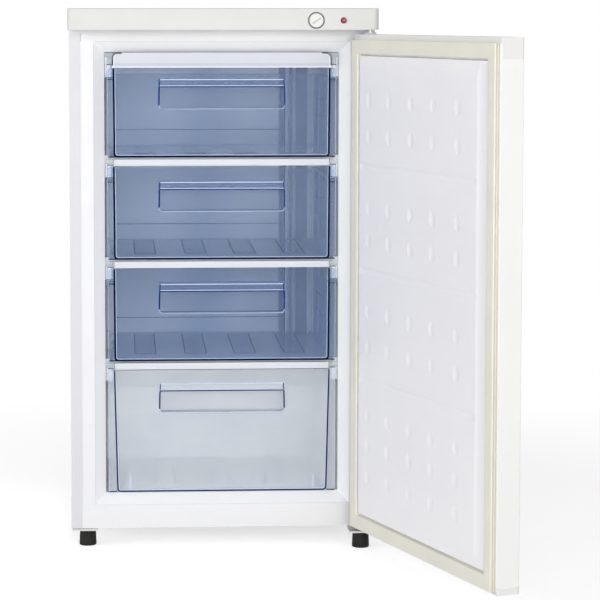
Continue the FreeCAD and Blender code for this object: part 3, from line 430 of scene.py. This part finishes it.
class Shape:
    """Collects points in cabinet millimetres and faces, each with a finish number."""

    def __init__(self):
        self.verts, self.faces, self.slots = [], [], []

    def point(self, x, y, z):
        self.verts.append(at(x, y, z))
        return len(self.verts) - 1

    def face(self, ids, slot=0):
        self.faces.append(tuple(ids))
        self.slots.append(slot)

    def box(self, x0, x1, y0, y1, z0, z1, slot=0, slots=None):
        """A closed box; slots may name a finish for -x, +x, -y, +y, -z, +z."""
        ids = [self.point(x, y, z) for x in (x0, x1) for y in (y0, y1) for z in (z0, z1)]
        sides = ((0, 1, 3, 2), (4, 6, 7, 5), (0, 4, 5, 1), (2, 3, 7, 6), (0, 2, 6, 4),
                 (1, 5, 7, 3))
        for i, side in enumerate(sides):
            self.face([ids[j] for j in side], slots[i] if slots else slot)

    def side_box(self, sign, x0, x1, *rest, **more):
        """A box on the right side, or its mirror on the left where sign is -1."""
        self.box(*sorted((sign * x0, sign * x1)), *rest, **more)

    def extrude(self, loop, y0, y1, slot=0):
        """A prism along y of an x-z outline."""
        a = [self.point(x, y0, z) for x, z in loop]
        b = [self.point(x, y1, z) for x, z in loop]
        n = len(loop)
        for i in range(n):
            j = (i + 1) % n
            self.face([a[i], a[j], b[j], b[i]], slot)
        self.face(a, slot)
        self.face(b[::-1], slot)

    def strip(self, path, wide, y0, y1, slot):
        """A flat ribbon of the given width along an x-z path, from y0 to y1."""
        left, right = [], []
        for i, (x, z) in enumerate(path):
            ax, az = path[max(0, i - 1)]
            bx, bz = path[min(len(path) - 1, i + 1)]
            long = math.hypot(bx - ax, bz - az)
            nx, nz = (bz - az) / long * wide / 2, -(bx - ax) / long * wide / 2
            left.append((x + nx, z + nz))
            right.append((x - nx, z - nz))
        self.extrude(left + right[::-1], y0, y1, slot)


def smooth_step(value):
    value = max(0.0, min(1.0, value))
    return value * value * (3 - 2 * value)


# Door liner: a formed sheet.  Inside the gasket it stands up in a narrow border, from
# which a flared step leads to a flat field with three grooves and rows of shallow oval
# dimples that stiffen it.
BORDER = (-213, 206, 62.1, 773.5)
FIELD = (-183, 203, 80, 758)
STEP, FLARE = 1.8, 6.0
GROOVES = (274.5, 444.5, 604.5)
COLUMNS = (170, 100, 26, -46, -124)
ROWS = (705, 651, 542, 491, 382, 328, 222, 175, 127)
FACE_Y, RISE = AXIS_Y + 20.85, 7.5
GROOVE_DEEP, LIP = 1.5, 0.35            # a groove, and the low ridge beside it
DIMPLE_DEEP, DIMPLE_WIDE, DIMPLE_TALL = 1.1, 10.5, 13.5
SHEET = 1.2


def inside(box, x, z):
    """Distance from the nearest side of a box, negative outside it."""
    return min(x - box[0], box[1] - x, z - box[2], box[3] - z)


def liner_height(x, z):
    edge = inside(BORDER, x, z)
    if edge < 0:
        return 0.0
    rise = (RISE - STEP) * smooth_step((edge + 0.2) / 1.4)
    depth = inside(FIELD, x, z)
    if depth < 0:
        return rise + STEP * math.exp(depth / FLARE) * smooth_step(edge / 2)
    rise = RISE
    inner = smooth_step(depth / 5)
    for groove in GROOVES:
        far = abs(z - groove)
        rise -= GROOVE_DEEP * inner * (1 - smooth_step((far - 2.2) / 3.0))
        rise += LIP * inner * max(0.0, 1 - abs(far - 6.4) / 1.6)
    if depth > 8:
        for column in COLUMNS:
            if abs(x - column) > 15:
                continue
            for row in ROWS:
                far = math.hypot((x - column) / DIMPLE_WIDE, (z - row) / DIMPLE_TALL)
                if far < 1:
                    rise -= DIMPLE_DEEP * smooth_step((1 - far) / 0.6)
    return rise


def ladder(low, high, step, edges):
    """Even steps from low to high, with more places given in edges."""
    count = round((high - low) / step)
    return sorted(set(list(edges) + [low + (high - low) * i / count
                                     for i in range(count + 1)]))


xs = ladder(-211.2, 204.2, 2.1, (-237.4, -228, -213.2, -213, -212.4, -211.8, 204.8,
                                 205.4, 206, 206.2, 228, 237.4))
zs = ladder(64, 771.6, 2.2, (44.2, 55, 61.9, 62.1, 62.7, 63.3, 772.2, 772.8, 773.5,
                             773.7, 785, 794.8))
verts, faces = [], []
for z in zs:
    for x in xs:
        verts.append(on_door(x, FACE_Y + liner_height(x, z), z))
wide = len(xs)
for j in range(len(zs) - 1):
    for i in range(wide - 1):
        a = j * wide + i
        faces.append((a, a + 1, a + wide + 1, a + wide))
rim = (list(range(wide)) + [j * wide + wide - 1 for j in range(1, len(zs))]
       + [(len(zs) - 1) * wide + i for i in range(wide - 2, -1, -1)]
       + [j * wide for j in range(len(zs) - 2, 0, -1)])
base = len(verts)
for i in rim:
    x, z = xs[i % wide], zs[i // wide]
    verts.append(on_door(x, FACE_Y - SHEET, z))
for k in range(len(rim)):
    n = (k + 1) % len(rim)
    faces.append((rim[k], rim[n], base + n, base + k))
faces.append(tuple(range(base, base + len(rim))))
piece("door_liner_sheet", verts, faces, "door", field_paint,
      ("door_liner",), angle=50)

# Gasket: a bellows strip, mitred at the corners, with a flat magnet face.  The first
# figure runs across the band from its inner edge, the second is the height.
PROFILE = [(22.0, 0.0), (22.0, 1.2), (20.8, 1.7), (19.3, 2.0), (19.3, 2.5), (21.2, 3.0),
           (22.0, 3.8), (21.8, 4.9), (20.6, 5.4), (19.2, 5.7), (19.2, 6.3), (21.2, 6.7),
           (22.0, 7.3), (22.0, 8.5), (21.5, 9.1), (20.4, 9.45), (12.0, 9.5), (3.0, 9.45),
           (1.2, 9.1), (0.4, 8.4), (0.3, 7.0), (1.3, 6.2), (1.4, 5.2), (0.4, 4.2),
           (0.0, 2.0), (0.0, 0.0)]
LEFT, RIGHT, LOW, HIGH, BAND = -236.5, 229.5, 38.6, 797, 22
STEPS, WAVE = 30, 0.22                  # rings along a side, and how far it wavers
verts, faces = [], []
corners = [(LEFT, LOW, 1, 1), (RIGHT, LOW, -1, 1), (RIGHT, HIGH, -1, -1),
           (LEFT, HIGH, 1, -1)]
rings = 0
for side in range(4):
    x0, z0, sx0, sz0 = corners[side]
    x1, z1, sx1, sz1 = corners[(side + 1) % 4]
    for k in range(STEPS):
        share = k / STEPS
        wave = WAVE * math.sin(side * 2.1 + k * 1.7) * min(1, k, STEPS - k)
        for across, tall in PROFILE:
            inset = BAND - across
            ax, az = x0 + sx0 * inset, z0 + sz0 * inset
            bx, bz = x1 + sx1 * inset, z1 + sz1 * inset
            lift = wave * max(0.0, (tall - 1) / 9.5) * (0 if tall > 9.3 else 0.7)
            shift = (0, lift) if side % 2 == 0 else (lift, 0)
            verts.append(on_door(ax + (bx - ax) * share + shift[0], FACE_Y + tall,
                                 az + (bz - az) * share + shift[1]))
        rings += 1
count = len(PROFILE)
for r in range(rings):
    n = (r + 1) % rings
    for i in range(count):
        j = (i + 1) % count
        faces.append((r * count + i, r * count + j, n * count + j, n * count + i))
piece("gasket_strip", verts, faces, "door", seal, ("door_gasket",),
      angle=40)


# Drawers: each a clear front plate with a finger grip, and a basket behind it whose
# front edge shows as a dark line, as clear plastic does where it is seen end on.  These
# dark lines are painted shade, and the pale lines beside them painted highlights.
def rounded(x0, x1, z0, z1, radius, steps=5):
    """Outline of a rectangle with four rounded corners, from the lower left."""
    points = []
    for cx, cz, start in ((x0 + radius, z0 + radius, 180), (x1 - radius, z0 + radius, 270),
                          (x1 - radius, z1 - radius, 0), (x0 + radius, z1 - radius, 90)):
        for k in range(steps + 1):
            turn = math.radians(start + 90 * k / steps)
            points.append((cx + radius * math.cos(turn), cz + radius * math.sin(turn)))
    return points


def mirrored(sign, path):
    return [(sign * x, z) for x, z in path]


def ring_wall(shape, outer, inner, y0, y1, in_side):
    """A flat plate between two outlines of the same length; in_side gives the finish of
    each piece of its inner edge."""
    n = len(outer)
    a = [shape.point(x, y0, z) for x, z in outer]
    b = [shape.point(x, y1, z) for x, z in outer]
    c = [shape.point(x, y0, z) for x, z in inner]
    e = [shape.point(x, y1, z) for x, z in inner]
    for i in range(n):
        j = (i + 1) % n
        shape.face([a[i], a[j], c[j], c[i]], CLEAR)
        shape.face([b[j], b[i], e[i], e[j]], CLEAR)
        shape.face([a[j], a[i], b[i], b[j]], CLEAR)
        shape.face([c[i], c[j], e[j], e[i]], in_side(inner[i], inner[j]))


# the second and third finishes are painted shade and painted highlights, for edges of
# clear plastic seen end on
CLEAR, DARK, HIGHLIGHT, OWN = range(4)      # finishes of a plate or basket, in their order
PLATE_Y, PLATE_T = 16.5, 3.0            # a plate's front face and thickness
HALF, GRIP = 179, 97.5                  # half widths of a plate and of its grip
HIGH_HALF, WALL = 170, 2.0              # a basket's half width at the top, its walls
RIM_HALF = 178                          # a basket's half width over its rims
NOTCH = 118                             # where the rear corner starts to stand back
FLOOR_STRIPS = ((-136, -103), (-56, -22), (22, 57), (102, 135))


def weld_path(half, lean, base, top, radius):
    """The U of a basket's front edge, from top left to top right."""
    path = [(-half, top)]
    for k in range(7):
        turn = math.radians(180 + 15 * k)
        path.append((lean - half + radius + radius * math.cos(turn),
                     base + radius + radius * math.sin(turn)))
    return path + [(-x, z) for x, z in reversed(path)]


def drawer_front(number, low, tall, plate_top, clear_finish, edge_finish):
    """Plate with a window for the fingers and a pocket behind it.  The edges of the
    pocket and the line where the basket is welded on are drawn on it in painted shade and
    painted highlights."""
    lowest = number == 4
    top = low + tall
    grip_top, grip_low = top - 6, top - 50.5
    window_top = grip_top - 10.5
    shape = Shape()

    def window_side(p, q):
        over = abs(p[1] - window_top) < 0.1 and abs(q[1] - window_top) < 0.1
        side = abs(p[0] - q[0]) < 0.1
        return DARK if over or side else HIGHLIGHT

    def line(path, wide, slot):
        """A line on the plate's front face."""
        shape.strip(path, wide, PLATE_Y - 0.26, PLATE_Y - 0.02, slot)

    ring_wall(shape, rounded(-HALF, HALF, low, plate_top, 5),
              rounded(-GRIP, GRIP, grip_low, window_top, 2.5), PLATE_Y,
              PLATE_Y + PLATE_T, window_side)
    # the pocket: side walls, floor, roof and rear wall
    y0, y1 = PLATE_Y + PLATE_T + 0.02, PLATE_Y + 21
    edge = GRIP + 0.7
    for sign in (-1, 1):
        shape.side_box(sign, GRIP - 0.4, GRIP + 1.6, y0, y1 + 2, grip_low + 5,
                       grip_top + 1.5, CLEAR)
        # side of the pocket: a dark edge of painted shade that leans in at the top and
        # ends in a painted highlight round the rounded corner below
        line(mirrored(sign, [(edge, grip_low + 5), (edge - 0.5, window_top - 3),
                             (edge - 1.4, window_top - 0.5)]), 2.2, OWN)
        line(mirrored(sign, [(edge - 0.9, window_top + 0.5), (edge - 1.3, grip_top)]),
             1.5, OWN)
        line(mirrored(sign, [(edge, grip_low + 4.8), (edge - 0.6, grip_low + 1.8),
                             (edge - 2.4, grip_low - 0.4), (edge - 5, grip_low - 1)]),
             1.0, HIGHLIGHT)
    # a painted dark edge under the top of the window, and painted highlights above it and
    # along the top and foot of the grip
    for inset, z, wide, slot in ((1, window_top - 0.4, 1.7, OWN),
                                 (1, window_top + 1.2, 1.1, HIGHLIGHT),
                                 (1.5, grip_top + 0.2, 1.3, HIGHLIGHT),
                                 (5, grip_low - 1, 0.8, HIGHLIGHT)):
        line([(inset - GRIP, z), (GRIP - inset, z)], wide, slot)
    shape.box(-GRIP, GRIP, y0, y1, grip_low - 2, grip_low, CLEAR)
    shape.box(-GRIP, GRIP, y0, y1, grip_top, grip_top + 2, CLEAR)
    shape.box(-GRIP, GRIP, y1, y1 + 2, grip_low - 2, grip_top + 2, CLEAR)
    # the weld line of the basket in painted shade with a painted highlight inside it, the
    # line of painted shade along the plate's foot outside it, and a painted highlight down
    # each side
    dark, lean = (2.2, 4.5) if lowest else (2.9, 1)
    half, gap = HIGH_HALF - dark / 2, 0.65
    line(weld_path(half, lean, low + dark / 2, plate_top - 0.4, 5), dark, DARK)
    line(weld_path(half - dark / 2 - gap, lean, low + dark + gap, plate_top - 0.4, 4.2),
         0.7, HIGHLIGHT)
    for sign in (-1, 1):
        line(mirrored(sign, [(HIGH_HALF - 4.5, low + 1.4), (HIGH_HALF - 2.4, low + 1.1),
                             (169.4, low + 0.9), (177.2, low + 0.9)]), 1.7, DARK)
        line(mirrored(sign, [(178.2, plate_top - 6), (178.2, low + 6)]), 0.5, HIGHLIGHT)
    piece(f"drawer_{number}_plate", shape.verts, shape.faces, f"drawer_{number}",
          [clear_finish, edge_finish, highlight_paint, edge_finish if lowest else grip_edge],
          (f"drawer_front_{number}",),
          shape.slots, angle=30)


def u_outline(wide, low_half, low, top, radius, thick):
    """Outer and inner points of a basket's U section, from top left to top right."""
    def run(half_top, half_low, base, r):
        lean = math.atan2(half_top - half_low, top - base)
        points = [(-half_top, top)]
        for k in range(7):
            turn = math.radians(180) + lean + (math.radians(90) - lean) * k / 6
            points.append((-half_low + r + r * math.cos(turn),
                           base + r + r * math.sin(turn)))
        return points + [(-x, z) for x, z in reversed(points)]
    return (run(wide, low_half, low, radius),
            run(wide - thick, low_half - thick, low + thick, max(1.0, radius - thick)))


def basket(number, low, tall, depth, taper, rear, clear_finish, edge_finish):
    """A tub behind the plate: a U section with rims, a rear wall and a shaped floor."""
    lowest = number == 4
    shape = Shape()
    top, floor_z = low + tall - 4, low + WALL
    base_half = HIGH_HALF - taper
    y0, y1 = PLATE_Y + PLATE_T + 0.05, PLATE_Y + PLATE_T + depth

    def skin(ya, yb, out, inn, slot):
        a = [shape.point(x, ya, z) for x, z in out]
        b = [shape.point(x, yb, z) for x, z in out]
        c = [shape.point(x, ya, z) for x, z in inn]
        e = [shape.point(x, yb, z) for x, z in inn]
        for i in range(len(out) - 1):
            j = i + 1
            shape.face([a[i], a[j], b[j], b[i]], slot)
            shape.face([c[j], c[i], e[i], e[j]], slot)
            shape.face([a[j], a[i], c[i], c[j]], slot)
            shape.face([b[i], b[j], e[j], e[i]], slot)
        for i in (0, len(out) - 1):
            shape.face([a[i], c[i], e[i], b[i]], slot)

    # bead where the basket is welded to the plate, in painted shade with a painted
    # highlight inside it, then the basket's walls
    dark = 2.0 if lowest else 2.5
    outer, inner = u_outline(HIGH_HALF, base_half, low, top, 6.0, WALL)
    bead_in = u_outline(HIGH_HALF, base_half, low, top, 6.0, dark)[1]
    light_in = u_outline(HIGH_HALF - dark, base_half - dark, low + dark, top, 3.6, 1.3)[1]
    skin(y0, y0 + 3, outer, bead_in, DARK)
    skin(y0 + 0.2, y0 + 1.2, bead_in, light_in, HIGHLIGHT)
    skin(y0 + 3.02, y1, outer, inner, CLEAR)
    # hanging rims along both sides, in painted shade at their front ends with a painted
    # highlight along their tops
    for sign in (-1, 1):
        shape.side_box(sign, HIGH_HALF - 0.2, RIM_HALF, y0, y1, top - 2.4, top,
                       slots=(CLEAR, CLEAR, DARK, CLEAR, CLEAR, HIGHLIGHT))
        shape.side_box(sign, RIM_HALF - 1.4, RIM_HALF, y0 + 4, y1 - 4, top - 6,
                       top - 2.42, CLEAR)
    # rear wall, arched on the lowest basket
    share = base_half - WALL - 0.2
    right, steps = share if lowest else NOTCH, 14
    points = [(-share, floor_z - 0.5), (right, floor_z - 0.5)]
    for k in range(steps + 1):
        x = right + (-share - right) * k / steps
        arch = 19 * (x / share) ** 2 if lowest else 0
        points.append((x, low + rear - arch))
    shape.extrude(points, y1 - WALL, y1, CLEAR)
    if lowest:
        # three raised blocks on the floor, with edges in painted shade
        z = floor_z
        for x in (-87, 0, 87):
            shape.box(x - 14, x + 14, y0 + 30, y0 + 166, z + 0.02, z + 3.2, CLEAR)
            shape.box(x - 14, x + 14, y0 + 29.4, y0 + 30.6, z + 3.22, z + 3.5, DARK)
            shape.box(x + 13.4, x + 14.6, y0 + 30, y0 + 166, z + 3.22, z + 3.5, DARK)
            shape.box(x - 14.4, x - 13.6, y0 + 30, y0 + 120, z + 3.22, z + 3.5, DARK)
        # ribs in the front corners, one upright in painted highlight, two leaning back
        # drawn as lines of painted shade
        for sign in (-1, 1):
            shape.side_box(sign, 143.2, 146, y0 + 2, y0 + 4, z + 0.5, low + 26, HIGHLIGHT)
            for x, lean in ((157, 6), (161.5, 9)):
                ids = [shape.point(sign * (x + dx), y0 + dy, z + dz)
                       for dx, dy, dz in ((-0.6, 12, 0.4), (0.6, 12, 0.4),
                                          (0.6 - lean, 110, 8), (-0.6 - lean, 110, 8))]
                shape.face(ids if sign > 0 else ids[::-1], DARK)
    else:
        # the corner stands back round the risers
        shape.box(NOTCH, 120, y1 - 30, y1, floor_z, low + rear, CLEAR)
        shape.box(120, share, y1 - 32, y1 - 30, floor_z, low + rear, CLEAR)
        # edges seen end on, drawn as lines of painted shade and painted highlight: the
        # corner of the notch, the rear corner of the side wall, and the step where the
        # rear wall meets the floor
        for x, half, z1, slot in ((118.6, 0.9, low + rear, DARK),
                                  (121.2, 0.9, low + rear, HIGHLIGHT),
                                  (158.2, 0.7, low + rear - 8, HIGHLIGHT),
                                  (share - 0.6, 0.5, low + rear, HIGHLIGHT)):
            shape.box(x - half, x + half, y1 - 32.5, y1 - 32.1, floor_z + 1, z1, slot)
        shape.box(-share, NOTCH - 0.5, y1 - WALL - 0.5, y1 - WALL - 0.1, low + 27.2,
                  low + 28.1, DARK)
        # the outline of a slot-shaped rib on each side wall, drawn as lines of painted
        # shade
        back, front = y1 - 92, y0 + 92
        ribs = (((back, 56), (back, 82), 0.9, 0), ((back, 82), (front, 88), 0, 0.6),
                ((back, 56), (front, 58), 0, 0.6))
        for sign in (-1, 1):
            x = sign * (HIGH_HALF - WALL - 0.8)
            for (ya, za), (yb, zb), dy, dz in ribs:
                ids = [shape.point(x, y, low + z) for y, z in (
                    (ya - dy, za - dz), (yb - dy, zb - dz), (yb + dy, zb + dz),
                    (ya + dy, za + dz))]
                shape.face(ids if sign < 0 else ids[::-1], DARK)
        # a paler, hazier sheet over the floor, painted light that brightens it where it
        # lies in shade, and four shallow strips standing up from it, whose edges show as
        # lines of painted shade
        z, front, back = floor_z, y0 + 60, y1 - 34
        shape.box(-163, 163, y0 + 6, back, z + 0.004, z + 0.016, OWN)
        for left, right in FLOOR_STRIPS:
            shape.box(left, right, front, back, z + 0.02, z + 1.2, CLEAR)
            if number > 1:
                for x in (left, right):
                    shape.box(x - 0.75, x + 0.75, front, back, z + 1.22, z + 1.4, DARK)
                shape.box(left, right, front - 0.5, front + 0.5, z + 1.22, z + 1.4, DARK)
    piece(f"drawer_{number}_basket", shape.verts, shape.faces, f"drawer_{number}",
          [clear_finish, edge_finish, highlight_paint, blue_floor],
          (f"drawer_basket_{number}",),
          shape.slots, angle=35)


SHELVES = (612.6, 452.3, 292.0)
PLATE_TOPS = (752.0, 598.6, 438.3, 278.0)
UPPER_TALL, LOWEST_TALL, LOWEST_LEVEL = 127, 177.4, 84.6
for number, level in enumerate(SHELVES, 1):
    drawer_front(number, level + 0.4, UPPER_TALL, PLATE_TOPS[number - 1], blue, blue_edge)
    basket(number, level + 0.4, UPPER_TALL, 322, 1, 122.6, blue, blue_edge)
drawer_front(4, LOWEST_LEVEL, LOWEST_TALL, PLATE_TOPS[3], pale, pale_edge)
basket(4, LOWEST_LEVEL, LOWEST_TALL, 276, 4.5, 85.5, pale_tub, pale_edge)


# Painted shadow in the gap round the top band's upper corners and down its ends: a thin
# dark strip.
shape = Shape()
for sign in (-1, 1):
    path = [(156, 775.6)]
    for k in range(9):
        turn = math.radians(90 - 11.25 * k)
        path.append((163 + 7 * math.cos(turn), 768.6 + 7 * math.sin(turn)))
    path.append((170, 756.5))
    shape.strip(mirrored(sign, path), 1.7, 8.6, 8.96, 0)
piece("band_gap_shadow", shape.verts, shape.faces, "cabinet", gap_shadow)

# End clips: clear sockets that hold the trims, with a bright tongue and a small catch, a
# painted highlight on the tongue, and lines of painted shadow in the gaps above and below
# it.
SOCKET, TONGUE, GLINT, GAP = range(4)
for name, node, signs, spans in (
        ("band_clip_left", "trim_clip_left", (-1,), ((737, 776),)),
        ("band_clip_right", "trim_clip_right", (1,), ((737, 776),)),
        ("trim_clips", "shelf_clips", (-1, 1), tuple((z - 32, z - 3.2) for z in SHELVES))):
    shape = Shape()
    for low, high in spans:
        for sign in signs:
            shape.side_box(sign, 169.2, 183, 20.6, 26, low, high, SOCKET)
            shape.side_box(sign, 173.4, 178.6, 20, 20.55, low + 1.5, low + 19.5, TONGUE)
            shape.side_box(sign, 174.6, 176.2, 19.9, 19.98, low + 4, low + 16, GLINT)
            shape.side_box(sign, 179.4, 181.2, 20.1, 20.55, low + 2, high - 7, TONGUE)
            for mark in (low + 1, low + 20.4):
                shape.side_box(sign, 170.2, 181, 20.2, 20.55, mark - 0.45, mark + 0.45,
                               GAP)
    piece(name, shape.verts, shape.faces, "cabinet", [milk, clip_paint, highlight_paint, gap_shadow],
          (node,), shape.slots)


# Levelling feet: turned plastic with flutes for the fingers, and above them a plain stem
# that stands for the thread.  The first figure of a ring is its height, the second its
# radius.
RINGS = ((0.0, 12.6), (0.8, 13.4), (2.2, 13.5), (9, 13.3), (16, 13.0), (20, 12.7),
         (23, 12.3), (24.6, 11.2), (25, 9.5), (25, 4.0), (27.8, 4.0))
AROUND, FLUTES, FLUTE_DEEP = 72, 18, 0.35


def foot(name, body, x, y, node):
    verts, faces = [], []
    for z, radius in RINGS:
        for k in range(AROUND):
            turn = 2 * math.pi * k / AROUND
            flute = FLUTE_DEEP * max(0.0, math.cos(turn * FLUTES)) if 1.5 < z < 23 else 0
            r = radius - flute
            verts.append(at(x + r * math.cos(turn), y + r * math.sin(turn), z))
    last = (len(RINGS) - 1) * AROUND
    for j in range(0, last, AROUND):
        for k in range(AROUND):
            n = (k + 1) % AROUND
            faces.append((j + k, j + n, j + AROUND + n, j + AROUND + k))
    faces.append(tuple(range(AROUND - 1, -1, -1)))
    faces.append(tuple(range(last, last + AROUND)))
    piece(name, verts, faces, body, black_mould, (node,), angle=45)


foot("front_foot_left", "foot_left", -212, 25, "levelling_foot_left")
foot("front_foot_right", "foot_right", 217, -12, "levelling_foot_right")

# ------------------------------------------------------------------ stage and light
floor_mesh = bpy.data.meshes.new("floor")
floor_mesh.from_pydata([(-30, -30, 0), (30, -30, 0), (30, 60, 0), (-30, 60, 0)], [],
                       [(0, 1, 2, 3)])
floor = bpy.data.objects.new("floor", floor_mesh)
bpy.context.scene.collection.objects.link(floor)
ground = Finish("studio_floor", (0.84, 0.84, 0.84), 0.9, 0.004, 2, 40, 0.00001,
                specular=0.0)


def add_paper_white(finish, near, far):
    """The floor shows white to the eye and keeps the shadow near the object."""
    seen = seen_rays(finish.tree)
    length = finish.add("ShaderNodeVectorMath", operation="LENGTH")
    finish.link(finish.place, length.inputs[0])
    away = finish.span(length.outputs["Value"], 0, 1, near, far)
    lift = finish.add("ShaderNodeEmission")
    finish.link(finish.math("MULTIPLY", seen, 0.6), lift.inputs["Strength"])
    white = finish.add("ShaderNodeEmission")
    both = finish.add("ShaderNodeAddShader")
    finish.link(finish.bsdf.outputs[0], both.inputs[0])
    finish.link(lift.outputs[0], both.inputs[1])
    mix = finish.add("ShaderNodeMixShader")
    finish.link(finish.math("MULTIPLY", away, seen), mix.inputs[0])
    finish.link(both.outputs[0], mix.inputs[1])
    finish.link(white.outputs[0], mix.inputs[2])
    finish.link(mix.outputs[0], finish.tree.nodes["Material Output"].inputs["Surface"])


add_paper_white(ground, 0.75, 1.5)
floor_mesh.materials.append(ground.mat)

world = bpy.data.worlds.new("studio")
bpy.context.scene.world = world
world.use_nodes = True
tree = world.node_tree
sky = tree.nodes["Background"]
LEVEL = 0.24                            # what lights the scene; the eye sees full white
level = math_node(tree, "ADD", math_node(tree, "MULTIPLY", seen_rays(tree), 1 - LEVEL),
                  LEVEL)
sky.inputs["Color"].default_value = (1, 1, 1, 1)
tree.links.new(level, sky.inputs["Strength"])


def lamp(name, place, aim, width, height, power):
    data = bpy.data.lights.new(name, "AREA")
    data.shape = "RECTANGLE"
    data.size, data.size_y, data.energy = width, height, power
    thing = bpy.data.objects.new(name, data)
    bpy.context.scene.collection.objects.link(thing)
    thing.location = place
    turn = (Vector(aim) - Vector(place)).to_track_quat("-Z", "Y")
    thing.rotation_euler = turn.to_euler()


lamp("front", (-0.05, -4.5, 0.95), (0, 0, 0.42), 3.0, 1.9, 90)
lamp("left", (-3.2, -1.8, 1.4), (0.1, 0, 0.45), 2.2, 2.2, 48)
lamp("cross", (2.0, -4.0, 1.3), (-0.1, 0, 0.4), 1.8, 1.8, 24)
lamp("overhead", (0, 0.3, 3.4), (0, 0, 0), 3.0, 2.6, 8)

# ------------------------------------------------------------------ camera
cam = bpy.data.cameras.new("camera")
cam.lens, cam.sensor_width = 142.0, 36
cam.shift_x, cam.shift_y = 0.10, -0.15
camera = bpy.data.objects.new("camera", cam)
bpy.context.scene.collection.objects.link(camera)
yaw, pitch = 0.0513, -0.0833
forward = Vector((math.sin(yaw) * math.cos(pitch), math.cos(yaw) * math.cos(pitch),
                  math.sin(pitch)))
camera.location = at(-160.99, -3671.55, 838.51)
camera.rotation_mode = "QUATERNION"
camera.rotation_quaternion = forward.to_track_quat("-Z", "Y")
cam.clip_start, cam.clip_end = 0.05, 200
bpy.context.scene.camera = camera

bpy.context.scene.view_settings.view_transform = "Standard"
